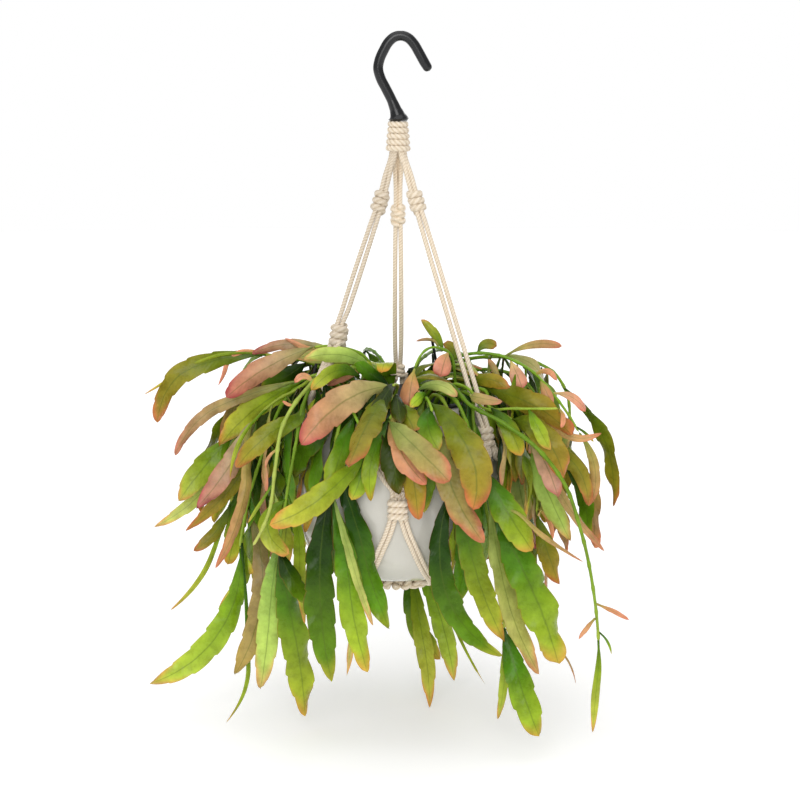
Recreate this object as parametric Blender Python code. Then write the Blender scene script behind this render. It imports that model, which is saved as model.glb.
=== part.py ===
"""A potted red coral cactus that hangs in a knotted cord hanger.

The model is in metres, +Z up. The origin is the inner crown of the hook, where a rod or ring carries
the object, and the pot's axis is the Z axis. The shapes are made in millimetres and scaled at the end.

A black plastic hook carries three legs of cotton cord. Their net holds a glazed ceramic pot. A grow pot
hangs by its flange on the pot's rim, and each stem of the plant stands in a plain hole in its soil.
"""

import math
import random
from dataclasses import dataclass, field

import bmesh
import bpy
import numpy as np
from mathutils import Matrix, Vector
from mathutils.bvhtree import BVHTree

TO_METRES = 0.001
FIT_GAP = 0.3  # between two pieces that touch

# Hook: the rod's centreline, x and z, from the foot up and over to the tip
HOOK_FOOT_Z = -70.2
HOOK_LINE = ((0.3, HOOK_FOOT_Z), (0.3, -68.4), (-0.3, -65.6), (-2.2, -60), (-5.5, -52), (-10.8, -41.5))
HOOK_LINE += ((-15.6, -32), (-17.6, -24), (-16.2, -16), (-12.6, -8), (-8, -0.5), (-3, 3.6), (3, 4.8))
HOOK_LINE += ((9, 2.8), (14, -2.2), (18.5, -9.6), (23.2, -18), (26.6, -23.6), (28.2, -26.2))
HOOK_ROD_RADIUS = 4.5
HOOK_FOOT_RADII = (8.8, 9.2, 6.8, 5.3)  # of the flared foot, from its underside up
HOOK_TIP_RADII = (4.2, 2.6)
HOOK_SHANK_RADIUS = 3.2
HOOK_SHANK_END_Z = -93

# Cotton cord
STRAND_RADIUS = 2.25
STRAND_PITCH = 2 * STRAND_RADIUS + FIT_GAP
SQUEEZED_RADIUS = 1.1  # of a strand that is bound inside the top wrap
BOUND_RING_RADIUS = 4.85  # where the twelve bound strands stand round the shank
WRAP_TOP_Z = HOOK_FOOT_Z - FIT_GAP
WRAP_TURNS = 5
WRAP_TURN_HEIGHT = 5.3
WRAP_BORE_RADIUS = 6.4
WRAP_TOP_RADIUS = 9
WRAP_BOTTOM_RADIUS = 11.3

# Ceramic pot: radius and height down its outside, from the lip to the foot
POT_OUTSIDE = ((72.5, -321), (75.5, -322.5), (80, -334), (85.5, -350), (90, -370), (92.6, -390))
POT_OUTSIDE += ((93, -402), (91.8, -422), (88.6, -442), (84, -455), (74, -468), (61, -476.5), (46, -480))
POT_WALL = 6
POT_FLOOR_Z = -473
POT_LIP_RADIUS = 69.5
POT_FOOT_Z = -480

# Grow pot, which hangs by its flange on the pot's lip
FLANGE_RADIUS = 75
FLANGE_Z = -321 + FIT_GAP
FLANGE_THICKNESS = 1.8
GROW_TOP_RADIUS = 66
GROW_FOOT_RADIUS = 50
GROW_WALL = 1.6
GROW_FOOT_Z = POT_FLOOR_Z + FIT_GAP
SOIL_TOP_Z = -350
HOLE_DEPTH = 24
HOLE_RADIUS = 3.3  # to the corners of a hole with four sides

# Net and base ring
NET_KNOT_RADIUS = 99.2
NET_KNOT_Z = -404
NET_KNOT_HALF_WIDTH = 9.7
NET_KNOT_HALF_DEPTH = 5.6
NET_KNOT_HALF_HEIGHT = 8.8
PAIR_HALF_WIDTH = 4.2  # of two strands that lie side by side on the pot
PAIR_END_HALF_WIDTH = 2.7
NET_BEARINGS = {"front": 0, "right_back": 120, "left_back": -120}
RING_CORD_RADIUS = 6
RING_RADIUS = 24
RING_SIDES = 6  # of the ring's section, which lies flat against the pot's foot
RING_Z = POT_FOOT_Z - FIT_GAP - RING_CORD_RADIUS * math.cos(math.pi / RING_SIDES)

# The photograph's view, from which the places of leaves are read: 9 degrees above level, 2 m away.
# Its frame is 800 pixels wide, and a pixel is 0.9 mm at the pot's axis.
VIEW_ANGLE = math.radians(9)
VIEW_DISTANCE = 2000
VIEW_PIXELS = 800 * 100 / 36
VIEW_CENTRE = Vector((1.8, 0, -326.6))
VIEW_BACK = Vector((0, -math.cos(VIEW_ANGLE), math.sin(VIEW_ANGLE)))
VIEW_UP = Vector((0, math.sin(VIEW_ANGLE), math.cos(VIEW_ANGLE)))
VIEW_PLACE = VIEW_CENTRE + VIEW_BACK * VIEW_DISTANCE

# Plant
STEM_SIDES = 4
STEM_RADIUS = 1.9
BLADE_THICKNESS = 0.9
STALK_HALF_WIDTH = 0.6
NOTCH_PITCH = 31  # between two points of a blade's edge
CLEARANCE = 0.5  # kept between the stems and blades of different sprays
TIER_RADIUS = (55.5, 41, 24)  # where the stems of each tier stand in the soil
TIER_GATE_Z = (-308.5, -301, -290)  # how high the stems of each tier cross the rim
RISE_RADIUS = (57.3, 50, 38)  # where they are a little below that
GATE_RADIUS = 84
ROOT_PITCH = 4.5  # at least, between the roots of a spray's leaves
STEM_PITCH = 30  # between two places of a stem's bar, on average


@dataclass
class Leg:
    """One leg of the hanger. Its knots are (radius, height, half width, half height)."""

    bearing: float
    upper_knot: tuple
    lower_knot: tuple
    split_z: float


LEGS = {
    "left": Leg(-60, (18.0, -141.5, 7.3, 8.6), (62.8, -259.2, 8.3, 9.0), -300),
    "right": Leg(57, (19.6, -141.5, 7.4, 8.6), (94.8, -348.0, 7.6, 8.6), -360),
    "back": Leg(180, (25.0, -155.6, 6.9, 8.6), (77.8, -307.0, 6.8, 6.0), -316),
}


@dataclass
class Leaf:
    """One flat stem segment: its places from root to tip, and the way each may be pushed to clear others."""

    name: str
    kind: str
    width: float
    places: list
    pushes: list
    shape: str = "lance"


@dataclass
class Spray:
    """One rooted stem with its leaves. Its bearing is 0 at the front and grows towards the right."""

    name: str
    bearing: float
    tier: int
    stem: list
    pushes: list
    leaves: list = field(default_factory=list)
    radius: float = STEM_RADIUS
    over_rim: bool = True


def around(radius, bearing, z):
    """A place at this radius and height. The bearing is 0 at the front and grows towards the right."""
    turn = math.radians(bearing)
    return Vector((radius * math.sin(turn), -radius * math.cos(turn), z))


def seen_at(x, y, depth):
    """The place of what the photograph shows at pixel x, y, this many mm in front of the pot's axis."""
    ray = Vector(((x - 400) / VIEW_PIXELS, 0, 0)) + VIEW_UP * ((400 - y) / VIEW_PIXELS) - VIEW_BACK
    return VIEW_PLACE + ray * ((-depth - VIEW_PLACE.y) / ray.y)


def towards_viewer(x, y):
    """The way from a place to the viewer, as long as brings it 1 mm nearer in depth."""
    return seen_at(x, y, 1) - seen_at(x, y, 0)


def leaf(name, kind, width, *points, shape="lance"):
    """A leaf read from the photograph: each point is a pixel's x and y, and its depth in mm."""
    places = [seen_at(*p) for p in points]
    return Leaf(name, kind, width, places, [towards_viewer(*p[:2]) for p in points], shape)


def spray(name, bearing, tier, stem, *leaves, radius=STEM_RADIUS, over_rim=True):
    """A spray read from the photograph, in the same way."""
    places = [seen_at(*p) for p in stem]
    pushes = [towards_viewer(*p[:2]) for p in stem]
    return Spray(name, bearing, tier, places, pushes, list(leaves), radius, over_rim)


def seen_sprays():
    """The sprays that the photograph shows, from the left round the front to the right."""
    return [
        spray(
            "spray_left_high", -80, 2, ((365, 352, 14), (344, 343, 16), (312, 342, 20)),
            leaf("blush_broad", "rose", 21, (312, 342, 20), (268, 361, 26), (224, 393, 30)),
            leaf("young_pale", "pale", 16, (370, 360, 4), (335, 351, 4), (294, 353, 0)),
            leaf("pale_short", "lime", 11, (374, 364, 24), (366, 362, 30), (350, 354, 34)),
            leaf("rose_edge", "rose", 10, (322, 342, 6), (285, 339, 4), (250, 349, 2)),
            leaf("bud_high", "coral", 5, (306, 343, 10), (296, 339, 8), (283, 333, 6)),
            over_rim=False,
        ),
        spray(
            "spray_left_far", -101, 1, ((322, 364, -25), (290, 353, -22), (262, 350, -15)),
            leaf("far_olive", "olive", 20, (262, 350, -15), (214, 355, -12), (176, 371, -8), (154, 418, -5)),
            leaf("far_spike", "lime", 4, (190, 359, -10), (170, 372, -12), (141, 390, -14), shape="ribbon"),
            leaf("far_bud", "coral", 5, (226, 356, -14), (222, 368, -16), (216, 381, -18)),
            leaf("under_green", "dark", 20, (306, 358, -20), (288, 370, -16), (260, 386, -12)),
            over_rim=False,
        ),
        spray(
            "spray_left_mid", -82, 1, ((320, 370, 10), (300, 376, 10)),
            leaf("tan_arch", "tan", 12, (300, 376, 6), (245, 391, 8), (203, 410, 8), (172, 451, 10)),
            leaf("lime_broad", "lime", 23, (304, 374, 12), (254, 404, 20), (218, 441, 24)),
            leaf("shaded_mid", "dark", 24, (304, 376, 4), (268, 412, -6), (242, 456, -8)),
            over_rim=False,
        ),
        spray(
            "spray_left_whip", -50, 2,
            ((366, 366, 36), (350, 363, 52), (332, 365, 64), (304, 386, 82), (289, 406, 90), (276, 439, 98),
             (274, 462, 102), (270, 490, 106), (264, 520, 108), (251, 543, 108)),
            leaf("bud_low", "coral", 6, (312, 378, 74), (303, 371, 76), (293, 378, 78)),
            leaf("whip_side", "lime", 3.2, (271, 480, 105), (260, 498, 108), (246, 520, 110), shape="ribbon"),
            leaf("spur_upper", "coral", 3, (294, 400, 88), (287, 400, 90), (281, 396, 92)),
            leaf("spur_lower", "coral", 3, (275, 445, 99), (268, 452, 100), (264, 465, 100)),
            leaf("coral_twist", "coral", 11, (362, 364, 40), (346, 369, 56), (327, 381, 62)),
            radius=2.1, over_rim=False,
        ),
        spray(
            "spray_front_rose", -16, 1, ((397, 380, 58), (392, 382, 72)),
            leaf("rose_broad", "rose", 29, (394, 381, 70), (350, 393, 98), (300, 441, 118)),
            leaf("rose_second", "olive", 24, (392, 382, 72), (366, 422, 102), (348, 464, 112)),
            leaf("shaded_front", "dark", 14, (392, 382, 72), (378, 405, 88), (370, 428, 96)),
            over_rim=False,
        ),
        spray(
            "spray_front_lime", -25, 0, ((352, 398, 84), (360, 425, 98), (366, 450, 106)),
            leaf("lime_sweep", "lime", 23, (366, 450, 106), (340, 477, 118), (305, 505, 128), (268, 522, 132)),
            leaf("green_inner", "green", 18, (365, 447, 104), (360, 474, 106), (351, 497, 108)),
            leaf("green_mid", "green", 19, (355, 410, 90), (336, 462, 104), (328, 492, 106)),
            leaf("shaded_side", "dark", 20, (352, 400, 86), (312, 436, 88), (294, 474, 84)),
        ),
        spray(
            "spray_front_left_long", -36, 0, ((340, 410, 92), (333, 450, 102), (330, 490, 106)),
            leaf("hanging_wide", "green", 28, (331, 480, 105), (319, 560, 112), (321, 622, 112), (331, 681, 110)),
            leaf("hanging_lime", "green", 24, (330, 490, 106), (345, 555, 107), (353, 615, 107), (367, 671, 105)),
            leaf("hanging_dark", "dark", 22, (333, 455, 102), (358, 530, 100), (372, 583, 98), (389, 627, 97)),
            leaf("yellow_edge", "tan", 8, (331, 485, 106), (347, 545, 114), (361, 592, 114), (373, 624, 112)),
            leaf("low_pale", "pale", 11, (336, 430, 98), (352, 560, 78), (352, 630, 60), (346, 675, 50)),
        ),
        spray(
            "spray_left_low_green", -51, 1, ((308, 400, 66), (294, 450, 78), (284, 500, 82), (277, 545, 84)),
            leaf("olive_long", "olive", 19, (308, 400, 66), (300, 410, 74), (270, 428, 84), (234, 464, 90)),
            leaf("dark_cross", "dark", 17, (277, 545, 84), (290, 575, 86), (310, 602, 86)),
            leaf("floor_reach", "green", 28, (278, 540, 83), (287, 600, 52), (299, 665, 26), (304, 716, 6)),
            leaf("pale_hanging", "pale", 22, (279, 535, 82), (270, 590, 46), (265, 645, 36), (259, 687, 30)),
            leaf("lime_tongue", "lime", 18, (286, 495, 82), (266, 524, 92), (287, 552, 96)),
            leaf("lime_strap", "lime", 12, (287, 490, 81), (297, 530, 66), (299, 575, 60), (304, 622, 58)),
        ),
        spray(
            "spray_left_long_low", -76, 0, ((284, 400, 10), (262, 450, 10), (246, 500, 10), (238, 545, 10)),
            leaf("long_tongue", "lime", 24, (238, 545, 10), (232, 600, 6), (205, 646, 4), (146, 683, 0)),
            leaf("brown_wave", "olive", 21, (244, 505, 12), (261, 575, 30), (254, 625, 28), (233, 673, 24)),
            leaf("thin_curl", "green", 4.5, (239, 540, 10), (246, 650, 12), (246, 676, 10), (224, 722, 8),
                 shape="ribbon"),
            leaf("lime_stub", "lime", 14, (239, 538, 10), (240, 575, -6), (217, 609, -10)),
        ),
        spray(
            "spray_left_outer", -118, 1, ((290, 372, -50), (255, 400, -38), (232, 430, -24)),
            leaf("outer_lime", "lime", 23, (232, 430, -24), (203, 462, -14), (176, 498, -8)),
            leaf("outer_tongue", "pale", 13, (236, 424, -26), (214, 470, -30), (186, 502, -26), (151, 524, -22)),
            leaf("outer_tail", "green", 18, (240, 420, -28), (226, 470, -46), (212, 520, -50)),
        ),
        spray(
            "spray_left_brown", -73, 1, ((300, 382, 20), (272, 398, 22), (250, 420, 24)),
            leaf("brown_tongue", "rose", 20, (250, 420, 24), (228, 461, 30), (194, 505, 34)),
            leaf("olive_short", "olive", 14, (252, 417, 24), (226, 488, 12), (206, 508, 14), (183, 528, 14)),
            leaf("thin_strap", "lime", 4, (266, 402, 24), (242, 430, 40), (228, 475, 44), shape="ribbon"),
            leaf("tan_drop", "tan", 11, (251, 419, 24), (243, 490, 44), (229, 535, 46), (213, 566, 46)),
        ),
        spray(
            "spray_left_ribbon", -103, 0, ((278, 395, -20), (247, 450, -28), (228, 500, -30)),
            leaf("small_hook", "olive", 12, (228, 500, -30), (214, 528, -30), (191, 548, -28)),
            leaf("long_ribbon", "lime", 5, (229, 497, -30), (216, 535, -34), (203, 567, -34), (168, 608, -32),
                 shape="ribbon"),
            leaf("shaded_fan", "green", 20, (236, 480, -29), (234, 520, -40), (226, 562, -46)),
            leaf("shaded_back", "dark", 22, (250, 445, -28), (256, 490, -44), (262, 540, -52)),
        ),
        spray(
            "spray_front_dark", -4, 0, ((394, 402, 92), (388, 416, 101)),
            leaf("grey_broad", "blush", 27, (388, 416, 100), (412, 440, 122), (450, 478, 134)),
            leaf("green_spike", "green", 14, (389, 414, 99), (376, 440, 105), (369, 468, 108), (371, 498, 110)),
            leaf("dark_tongue", "dark", 25, (394, 406, 90), (394, 455, 106), (398, 491, 110)),
            leaf("brown_upper", "olive", 21, (396, 402, 84), (404, 408, 92), (414, 428, 106)),
            leaf("coral_edge", "coral", 18, (389, 414, 98), (402, 450, 114), (427, 481, 122)),
        ),
        spray(
            "spray_front_right_broad", 17, 0, ((430, 399, 92), (433, 408, 99)),
            leaf("red_margin", "olive", 31, (431, 397, 88), (460, 430, 112), (477, 470, 122), (474, 506, 124)),
            leaf("tan_tongue", "blush", 25, (430, 398, 88), (446, 466, 108), (462, 505, 116), (485, 540, 120)),
            leaf("coral_tongue", "blush", 23, (428, 395, 84), (412, 458, 103), (416, 490, 108), (419, 517, 110)),
            leaf("green_inner_right", "green", 22, (430, 396, 86), (428, 420, 97), (440, 446, 101)),
            leaf("green_fold", "green", 10, (426, 390, 78), (423, 391, 84), (410, 403, 90)),
        ),
        spray(
            "spray_crown_loop", 58, 1,
            ((457, 388, 14), (455, 368, 20), (451, 349, 24), (436, 341, 28), (423, 349, 32), (415, 363, 36)),
            leaf("teardrop", "coral", 17, (415, 363, 36), (411, 382, 42), (409, 402, 46), shape="spoon"),
            leaf("pink_spoon", "pink", 17, (449, 347, 25), (445, 356, 33), (441, 372, 38), shape="spoon"),
            leaf("orange_upright", "olive", 11, (453, 356, 22), (454, 345, 15), (444, 338, 10)),
            leaf("yellow_upright", "lime", 9, (448, 346, 25), (436, 330, 16), (421, 314, 12)),
            leaf("tan_thread", "tan", 3, (445, 344, 26), (436, 337, 22), (416, 336, 20), shape="ribbon"),
            radius=1.6, over_rim=False,
        ),
        spray(
            "spray_right_high_arch", 78, 2,
            ((452, 354, 6), (478, 348, 10), (503, 351, 12), (529, 363, 16), (554, 388, 18), (572, 414, 20),
             (581, 428, 20)),
            leaf("arch_end", "tan", 10, (581, 428, 20), (593, 450, 22), (598, 472, 22), (592, 502, 22)),
            leaf("orange_spoon", "olive", 10, (478, 348, 10), (486, 339, 8), (498, 341, 8), shape="spoon"),
            leaf("tan_wing", "tan", 8, (505, 351, 12), (532, 340, 8), (564, 341, 6), shape="spoon"),
            leaf("pink_drop", "pink", 15, (511, 354, 13), (518, 369, 20), (524, 384, 22), shape="spoon"),
            leaf("orange_bud", "coral", 6, (537, 369, 17), (549, 366, 20), (559, 376, 22)),
            leaf("orange_drop", "coral", 10, (540, 372, 17), (548, 387, 22), (554, 403, 24)),
            leaf("pink_wing", "pink", 9, (555, 389, 18), (574, 393, 20), (588, 407, 22), shape="spoon"),
            leaf("arch_spur", "green", 3, (582, 428, 20), (589, 430, 22), (596, 438, 22)),
            radius=1.7, over_rim=False,
        ),
        spray(
            "spray_right_low_arch", 46, 1, ((480, 401, 64), (520, 404, 72), (561, 404, 72)),
            leaf("arch_bud", "coral", 5, (561, 404, 72), (565, 412, 72), (563, 424, 72)),
            leaf("tan_sweep", "tan", 10, (470, 400, 62), (474, 392, 78), (488, 395, 84), (504, 397, 88)),
            leaf("green_hang", "green", 17, (470, 403, 68), (486, 424, 84), (500, 452, 88)),
            leaf("lime_hang", "lime", 13, (530, 405, 74), (540, 424, 80), (552, 446, 82)),
            radius=1.6,
        ),
        spray(
            "spray_right_olive", 92, 1, ((466, 384, 14), (486, 381, 26), (512, 383, 34), (547, 395, 38)),
            leaf("olive_top", "olive", 14, (467, 384, 14), (486, 374, 32), (512, 385, 42)),
            leaf("olive_broad", "olive", 23, (482, 382, 24), (516, 392, 48), (548, 408, 56), (574, 431, 58)),
            leaf("pink_blade", "tan", 8, (520, 385, 36), (552, 418, 44), (578, 434, 46), (604, 429, 46)),
            leaf("tan_small", "tan", 6, (500, 381, 30), (497, 368, 26), (489, 354, 24)),
            radius=1.7, over_rim=False,
        ),
        spray(
            "spray_right_whip", 40, 2,
            ((446, 378, 50), (474, 403, 78), (503, 418, 86), (535, 441, 92), (556, 463, 94), (570, 488, 94),
             (580, 516, 94), (586, 540, 94), (593, 575, 92), (599, 605, 90), (601, 640, 88)),
            leaf("whip_end", "green", 7.5, (601, 638, 88), (601, 662, 84), (598, 694, 80), (595, 732, 76),
                 shape="ribbon"),
            leaf("shoot_right", "coral", 4.5, (599, 602, 90), (615, 609, 92), (632, 618, 94)),
            leaf("shoot_left", "coral", 4.5, (600, 615, 90), (591, 624, 92), (581, 638, 94)),
            leaf("shoot_low", "green", 2.4, (601, 634, 88), (610, 640, 90), (614, 653, 92), shape="ribbon"),
            radius=2.1, over_rim=False,
        ),
        spray(
            "spray_right_pink", 68, 0, ((490, 402, 40), (512, 414, 46), (532, 432, 52)),
            leaf("pink_tongue", "pink", 20, (532, 432, 52), (547, 460, 64), (560, 493, 68)),
            leaf("brown_broad", "olive", 24, (512, 414, 46), (542, 428, 72), (566, 474, 76)),
            leaf("yellow_tongue", "olive", 15, (530, 430, 51), (558, 444, 34), (578, 462, 32), (591, 503, 32)),
            leaf("pale_tongue", "pale", 21, (532, 433, 52), (545, 478, 42), (558, 508, 38), (572, 538, 38)),
            leaf("tan_tongue_right", "tan", 9, (533, 434, 52), (562, 490, 52), (582, 520, 50), (607, 548, 50)),
        ),
        spray(
            "spray_right_inner", 88, 0,
            ((495, 410, 8), (510, 428, 12), (526, 446, 16), (537, 475, 20), (538, 510, 22)),
            leaf("olive_inner", "olive", 19, (508, 426, 11), (515, 452, 26), (517, 479, 30)),
            leaf("pale_inner", "pale", 20, (520, 438, 14), (520, 480, 6), (530, 518, 2)),
            leaf("lime_end", "olive", 19, (538, 510, 22), (547, 542, 24), (561, 582, 26)),
            leaf("dark_inner", "dark", 18, (504, 421, 9), (512, 458, -4), (514, 496, -8)),
            leaf("small_coral", "coral", 5, (538, 508, 22), (552, 520, 16), (554, 537, 14)),
        ),
        spray(
            "spray_right_drop", 34, 0, ((470, 425, 84), (484, 465, 94), (494, 510, 98)),
            leaf("olive_wide", "olive", 27, (484, 465, 94), (508, 508, 106), (534, 548, 110)),
            leaf("tan_whisker", "tan", 4.5, (494, 506, 98), (515, 508, 104), (541, 530, 106), (585, 559, 108),
                 shape="ribbon"),
            leaf("widest", "green", 34, (494, 510, 98), (522, 562, 100), (544, 612, 98), (560, 662, 96)),
            leaf("pale_long", "pale", 20, (493, 505, 97), (500, 560, 88), (514, 615, 86), (541, 673, 84)),
        ),
        spray(
            "spray_right_long_low", 26.5, 0, ((455, 430, 92), (456, 460, 100), (456, 480, 103)),
            leaf("long_green", "green", 23, (455, 478, 103), (440, 545, 108), (450, 600, 106), (502, 655, 100)),
            leaf("long_second", "green", 24, (456, 480, 103), (470, 545, 96), (487, 600, 95), (506, 640, 94)),
            leaf("long_dark", "dark", 21, (456, 470, 101), (466, 520, 86), (466, 562, 82), (455, 603, 80)),
        ),
        spray(
            "spray_right_lowest", 49, 0,
            ((474, 424, 70), (484, 480, 78), (492, 540, 76), (500, 590, 82), (506, 628, 88)),
            leaf("lowest", "green", 25, (506, 626, 88), (518, 672, 100), (541, 736, 108)),
            leaf("low_sliver", "lime", 8.5, (506, 624, 88), (506, 672, 82), (499, 719, 78)),
            leaf("low_thread", "tan", 2.4, (502, 600, 84), (545, 636, 72), (565, 652, 70), (578, 683, 70),
                 shape="ribbon"),
            radius=1.7,
        ),
        spray(
            "spray_under_back", 164, 0, ((404, 440, -112), (410, 520, -112), (412, 565, -104)),
            leaf("under_green", "green", 20, (410, 560, -105), (412, 600, -92), (422, 630, -84), (441, 658, -78)),
            leaf("under_lime", "lime", 18, (412, 565, -104), (420, 620, -72), (427, 662, -66), (430, 707, -60)),
            leaf("under_right", "lime", 20, (413, 560, -105), (434, 595, -108), (446, 634, -106), (455, 680, -102)),
            leaf("under_thread", "green", 3.4, (412, 562, -105), (448, 610, -122), (468, 652, -118),
                 (486, 683, -116), shape="ribbon"),
        ),
    ]


BACK_TIERS = (
    (0, (106, 123, 140, 198, 218, 238)),
    (1, (114, 142, 190, 222)),
    (2, (118, 158, 196, 234)),
)
BACK_REACH = (118, 150, 184)  # how far out the stems of each tier come
BACK_LEAVES = (4, 4, 5)
BACK_KINDS = ("green", "lime", "olive", "dark", "pale", "rose", "tan", "green", "blush")
LOWEST_BACK_TIP_Z = -565


def back_sprays():
    """The sprays behind, which the photograph hides: the same kinds, by a rule with seeded draws."""
    sprays = []
    for tier, bearings in BACK_TIERS:
        for number, bearing in enumerate(bearings):
            draw = random.Random(f"back {tier} {number}")
            reach = BACK_REACH[tier] + draw.uniform(-8, 8)
            sway = draw.uniform(-5, 5)
            drop = draw.uniform(40, 90) + 20 * (2 - tier)
            stem = [
                around(0.5 * (GATE_RADIUS + reach), bearing + sway / 2, TIER_GATE_Z[tier] - 3),
                around(reach, bearing + sway, TIER_GATE_Z[tier] - 28),
                around(reach + 5, bearing + sway, TIER_GATE_Z[tier] - 28 - drop),
            ]
            made = Spray(f"spray_back_{'low mid high'.split()[tier]}_{number + 1}", bearing, tier, stem, [])
            made.pushes = [around(1, bearing, 0) for _ in stem]
            made.leaves = [back_leaf(draw, made, i) for i in range(BACK_LEAVES[tier])]
            sprays.append(made)
    return sprays


def back_leaf(draw, owner, number):
    """One leaf of a spray behind: it springs outwards from the stem, bends over and hangs."""
    share = (number + 0.6) / BACK_LEAVES[owner.tier]
    along = smooth([around(GATE_RADIUS, owner.bearing, TIER_GATE_Z[owner.tier])] + owner.stem, 21)
    root = Vector(along[int(4 + share * 16)])
    side = 1 if number % 2 else -1
    out = Vector((root.x, root.y, 0)).normalized()
    across = Vector((-out.y, out.x, 0)) * side
    length = draw.uniform(78, 128)
    if root.z - length < LOWEST_BACK_TIP_Z:
        length = root.z - LOWEST_BACK_TIP_Z
    lean, spread = draw.uniform(0.12, 0.34), draw.uniform(0.1, 0.42)
    middle = root + out * lean * length * 0.8 + across * spread * length * 0.6 - Vector((0, 0, 0.36 * length))
    tip = root + out * lean * length + across * spread * length - Vector((0, 0, 0.94 * length))
    width = draw.uniform(17, 26)
    kind = BACK_KINDS[draw.randrange(len(BACK_KINDS))]
    return Leaf(f"leaf_{number + 1}", kind, width, [root, middle, tip], [out] * 3)


def smooth(points, count):
    """Places evenly spaced along a smooth curve through the points, as an array."""
    fixed = np.array([tuple(p) for p in points], float)
    if len(fixed) == 2:
        return fixed[0] + (fixed[1] - fixed[0]) * np.linspace(0, 1, count)[:, None]
    knots = np.concatenate([[0], np.cumsum(np.linalg.norm(np.diff(fixed, axis=0), axis=1))])
    slopes = np.diff(fixed, axis=0) / np.diff(knots)[:, None]
    spans = np.diff(knots)[:, None]
    inner = (slopes[:-1] * spans[1:] + slopes[1:] * spans[:-1]) / (spans[:-1] + spans[1:])
    tangents = np.vstack([2 * slopes[0] - inner[0], inner, 2 * slopes[-1] - inner[-1]])
    fine = []
    for i in range(len(fixed) - 1):
        t = np.linspace(0, 1, 12, endpoint=False)[:, None]
        span = knots[i + 1] - knots[i]
        fine.append(
            (2 * t**3 - 3 * t**2 + 1) * fixed[i] + (t**3 - 2 * t**2 + t) * span * tangents[i]
            + (3 * t**2 - 2 * t**3) * fixed[i + 1] + (t**3 - t**2) * span * tangents[i + 1]
        )
    fine = np.vstack([*fine, fixed[-1:]])
    return evenly(fine, count)


def evenly(line, count):
    """The line's places again, evenly spaced."""
    along = np.concatenate([[0], np.cumsum(np.linalg.norm(np.diff(line, axis=0), axis=1))])
    at = np.linspace(0, along[-1], count)
    return np.stack([np.interp(at, along, line[:, k]) for k in range(3)], axis=1)


def length_of(line):
    return float(np.linalg.norm(np.diff(line, axis=0), axis=1).sum())


def unit(rows):
    return rows / np.maximum(np.linalg.norm(rows, axis=-1, keepdims=True), 1e-9)


def tube(points, radii, sides, normals=None, depths=None):
    """A bar along the points with flat ends: its vertices, and its triangles. It is round, or flattened
    to the depths along the normals."""
    points = np.array([tuple(p) for p in points], float)
    tangents = unit(np.gradient(points, axis=0))
    side = np.cross(tangents[0], (0, 0, 1) if abs(tangents[0][2]) < 0.9 else (1, 0, 0))
    turns = 2 * math.pi * np.arange(sides)[:, None] / sides
    verts = []
    for i, (point, tangent, radius) in enumerate(zip(points, tangents, radii, strict=True)):
        if normals is not None:
            side = np.cross(normals[i], tangent)
        side = unit(side - tangent * side.dot(tangent))
        up = np.cross(tangent, side)
        depth = radius if depths is None else depths[i]
        verts.append(point + radius * np.cos(turns) * side + depth * np.sin(turns) * up)
    faces = []
    for ring in range(len(points) - 1):
        for i in range(sides):
            a, b = ring * sides + i, ring * sides + (i + 1) % sides
            faces += [(a, b, b + sides), (a, b + sides, a + sides)]
    last = (len(points) - 1) * sides
    faces += [(0, i + 1, i) for i in range(1, sides - 1)]
    faces += [(last, last + i, last + i + 1) for i in range(1, sides - 1)]
    return np.vstack(verts), faces


def half_width(share, shape):
    """Half of a blade's width, from 0 at its base (share 0) to its tip (share 1), where 1 is the most."""
    peak, blunt = {"lance": (0.55, 2.3), "spoon": (0.66, 2.6), "ribbon": (0.6, 1.5)}[shape]
    if share < peak:
        rise = max(share, 0) / peak
        return math.sin(rise * math.pi / 2) ** (1.15 if shape == "spoon" else 0.85)
    return 1 - ((share - peak) / (1 - peak)) ** blunt


def blade(made, line, turn, grow=0.0):
    """A leaf's closed body of triangles. Its two edges have notches that alternate, and its two faces
    are split alike. grow is added on every side, to test for clearance."""
    most = 3 if made.shape == "ribbon" else 6
    count = int(min(most, max(2, round(length_of(line) / NOTCH_PITCH))))
    shares = [0.0, 0.0]
    for i in range(count):
        shares += [(i + 0.75) / (count + 0.6), (i + 1.2) / (count + 0.6)]
    shares.append(1.0)
    centre, tangent = at_shares(line, shares)
    facing = facing_of(made)
    across = unit(np.cross(tangent, facing))
    normal = np.cross(across, tangent)
    turns = np.array([turn * (0.35 + 0.65 * s) for s in shares])[:, None]
    across, normal = (
        across * np.cos(turns) + normal * np.sin(turns),
        normal * np.cos(turns) - across * np.sin(turns),
    )
    sides = np.array([1.0 if i % 2 == 0 else -1.0 for i in range(len(shares) - 1)] + [0.0])
    stalk = 0.06
    widths = []
    for i, share in enumerate(shares):
        lobe = 1.0 if (i // 2 + i) % 2 == 0 else 0.84
        full = 0.5 * made.width * half_width((share - stalk) / (1 - stalk), made.shape) * lobe
        widths.append(max(full, min(STALK_HALF_WIDTH, 0.5 * made.width)) + grow)
    wave = [0.03 * made.width * math.sin(2.4 * i) if 1 < i < len(shares) - 1 else 0 for i in range(len(shares))]
    middle = centre + across * (sides * widths)[:, None] + normal * np.array(wave)[:, None]
    middle[-1] += tangent[-1] * grow
    half = 0.5 * BLADE_THICKNESS + grow
    verts = np.vstack([middle + normal * half, middle - normal * half])
    return verts, blade_faces(len(shares))


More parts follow.
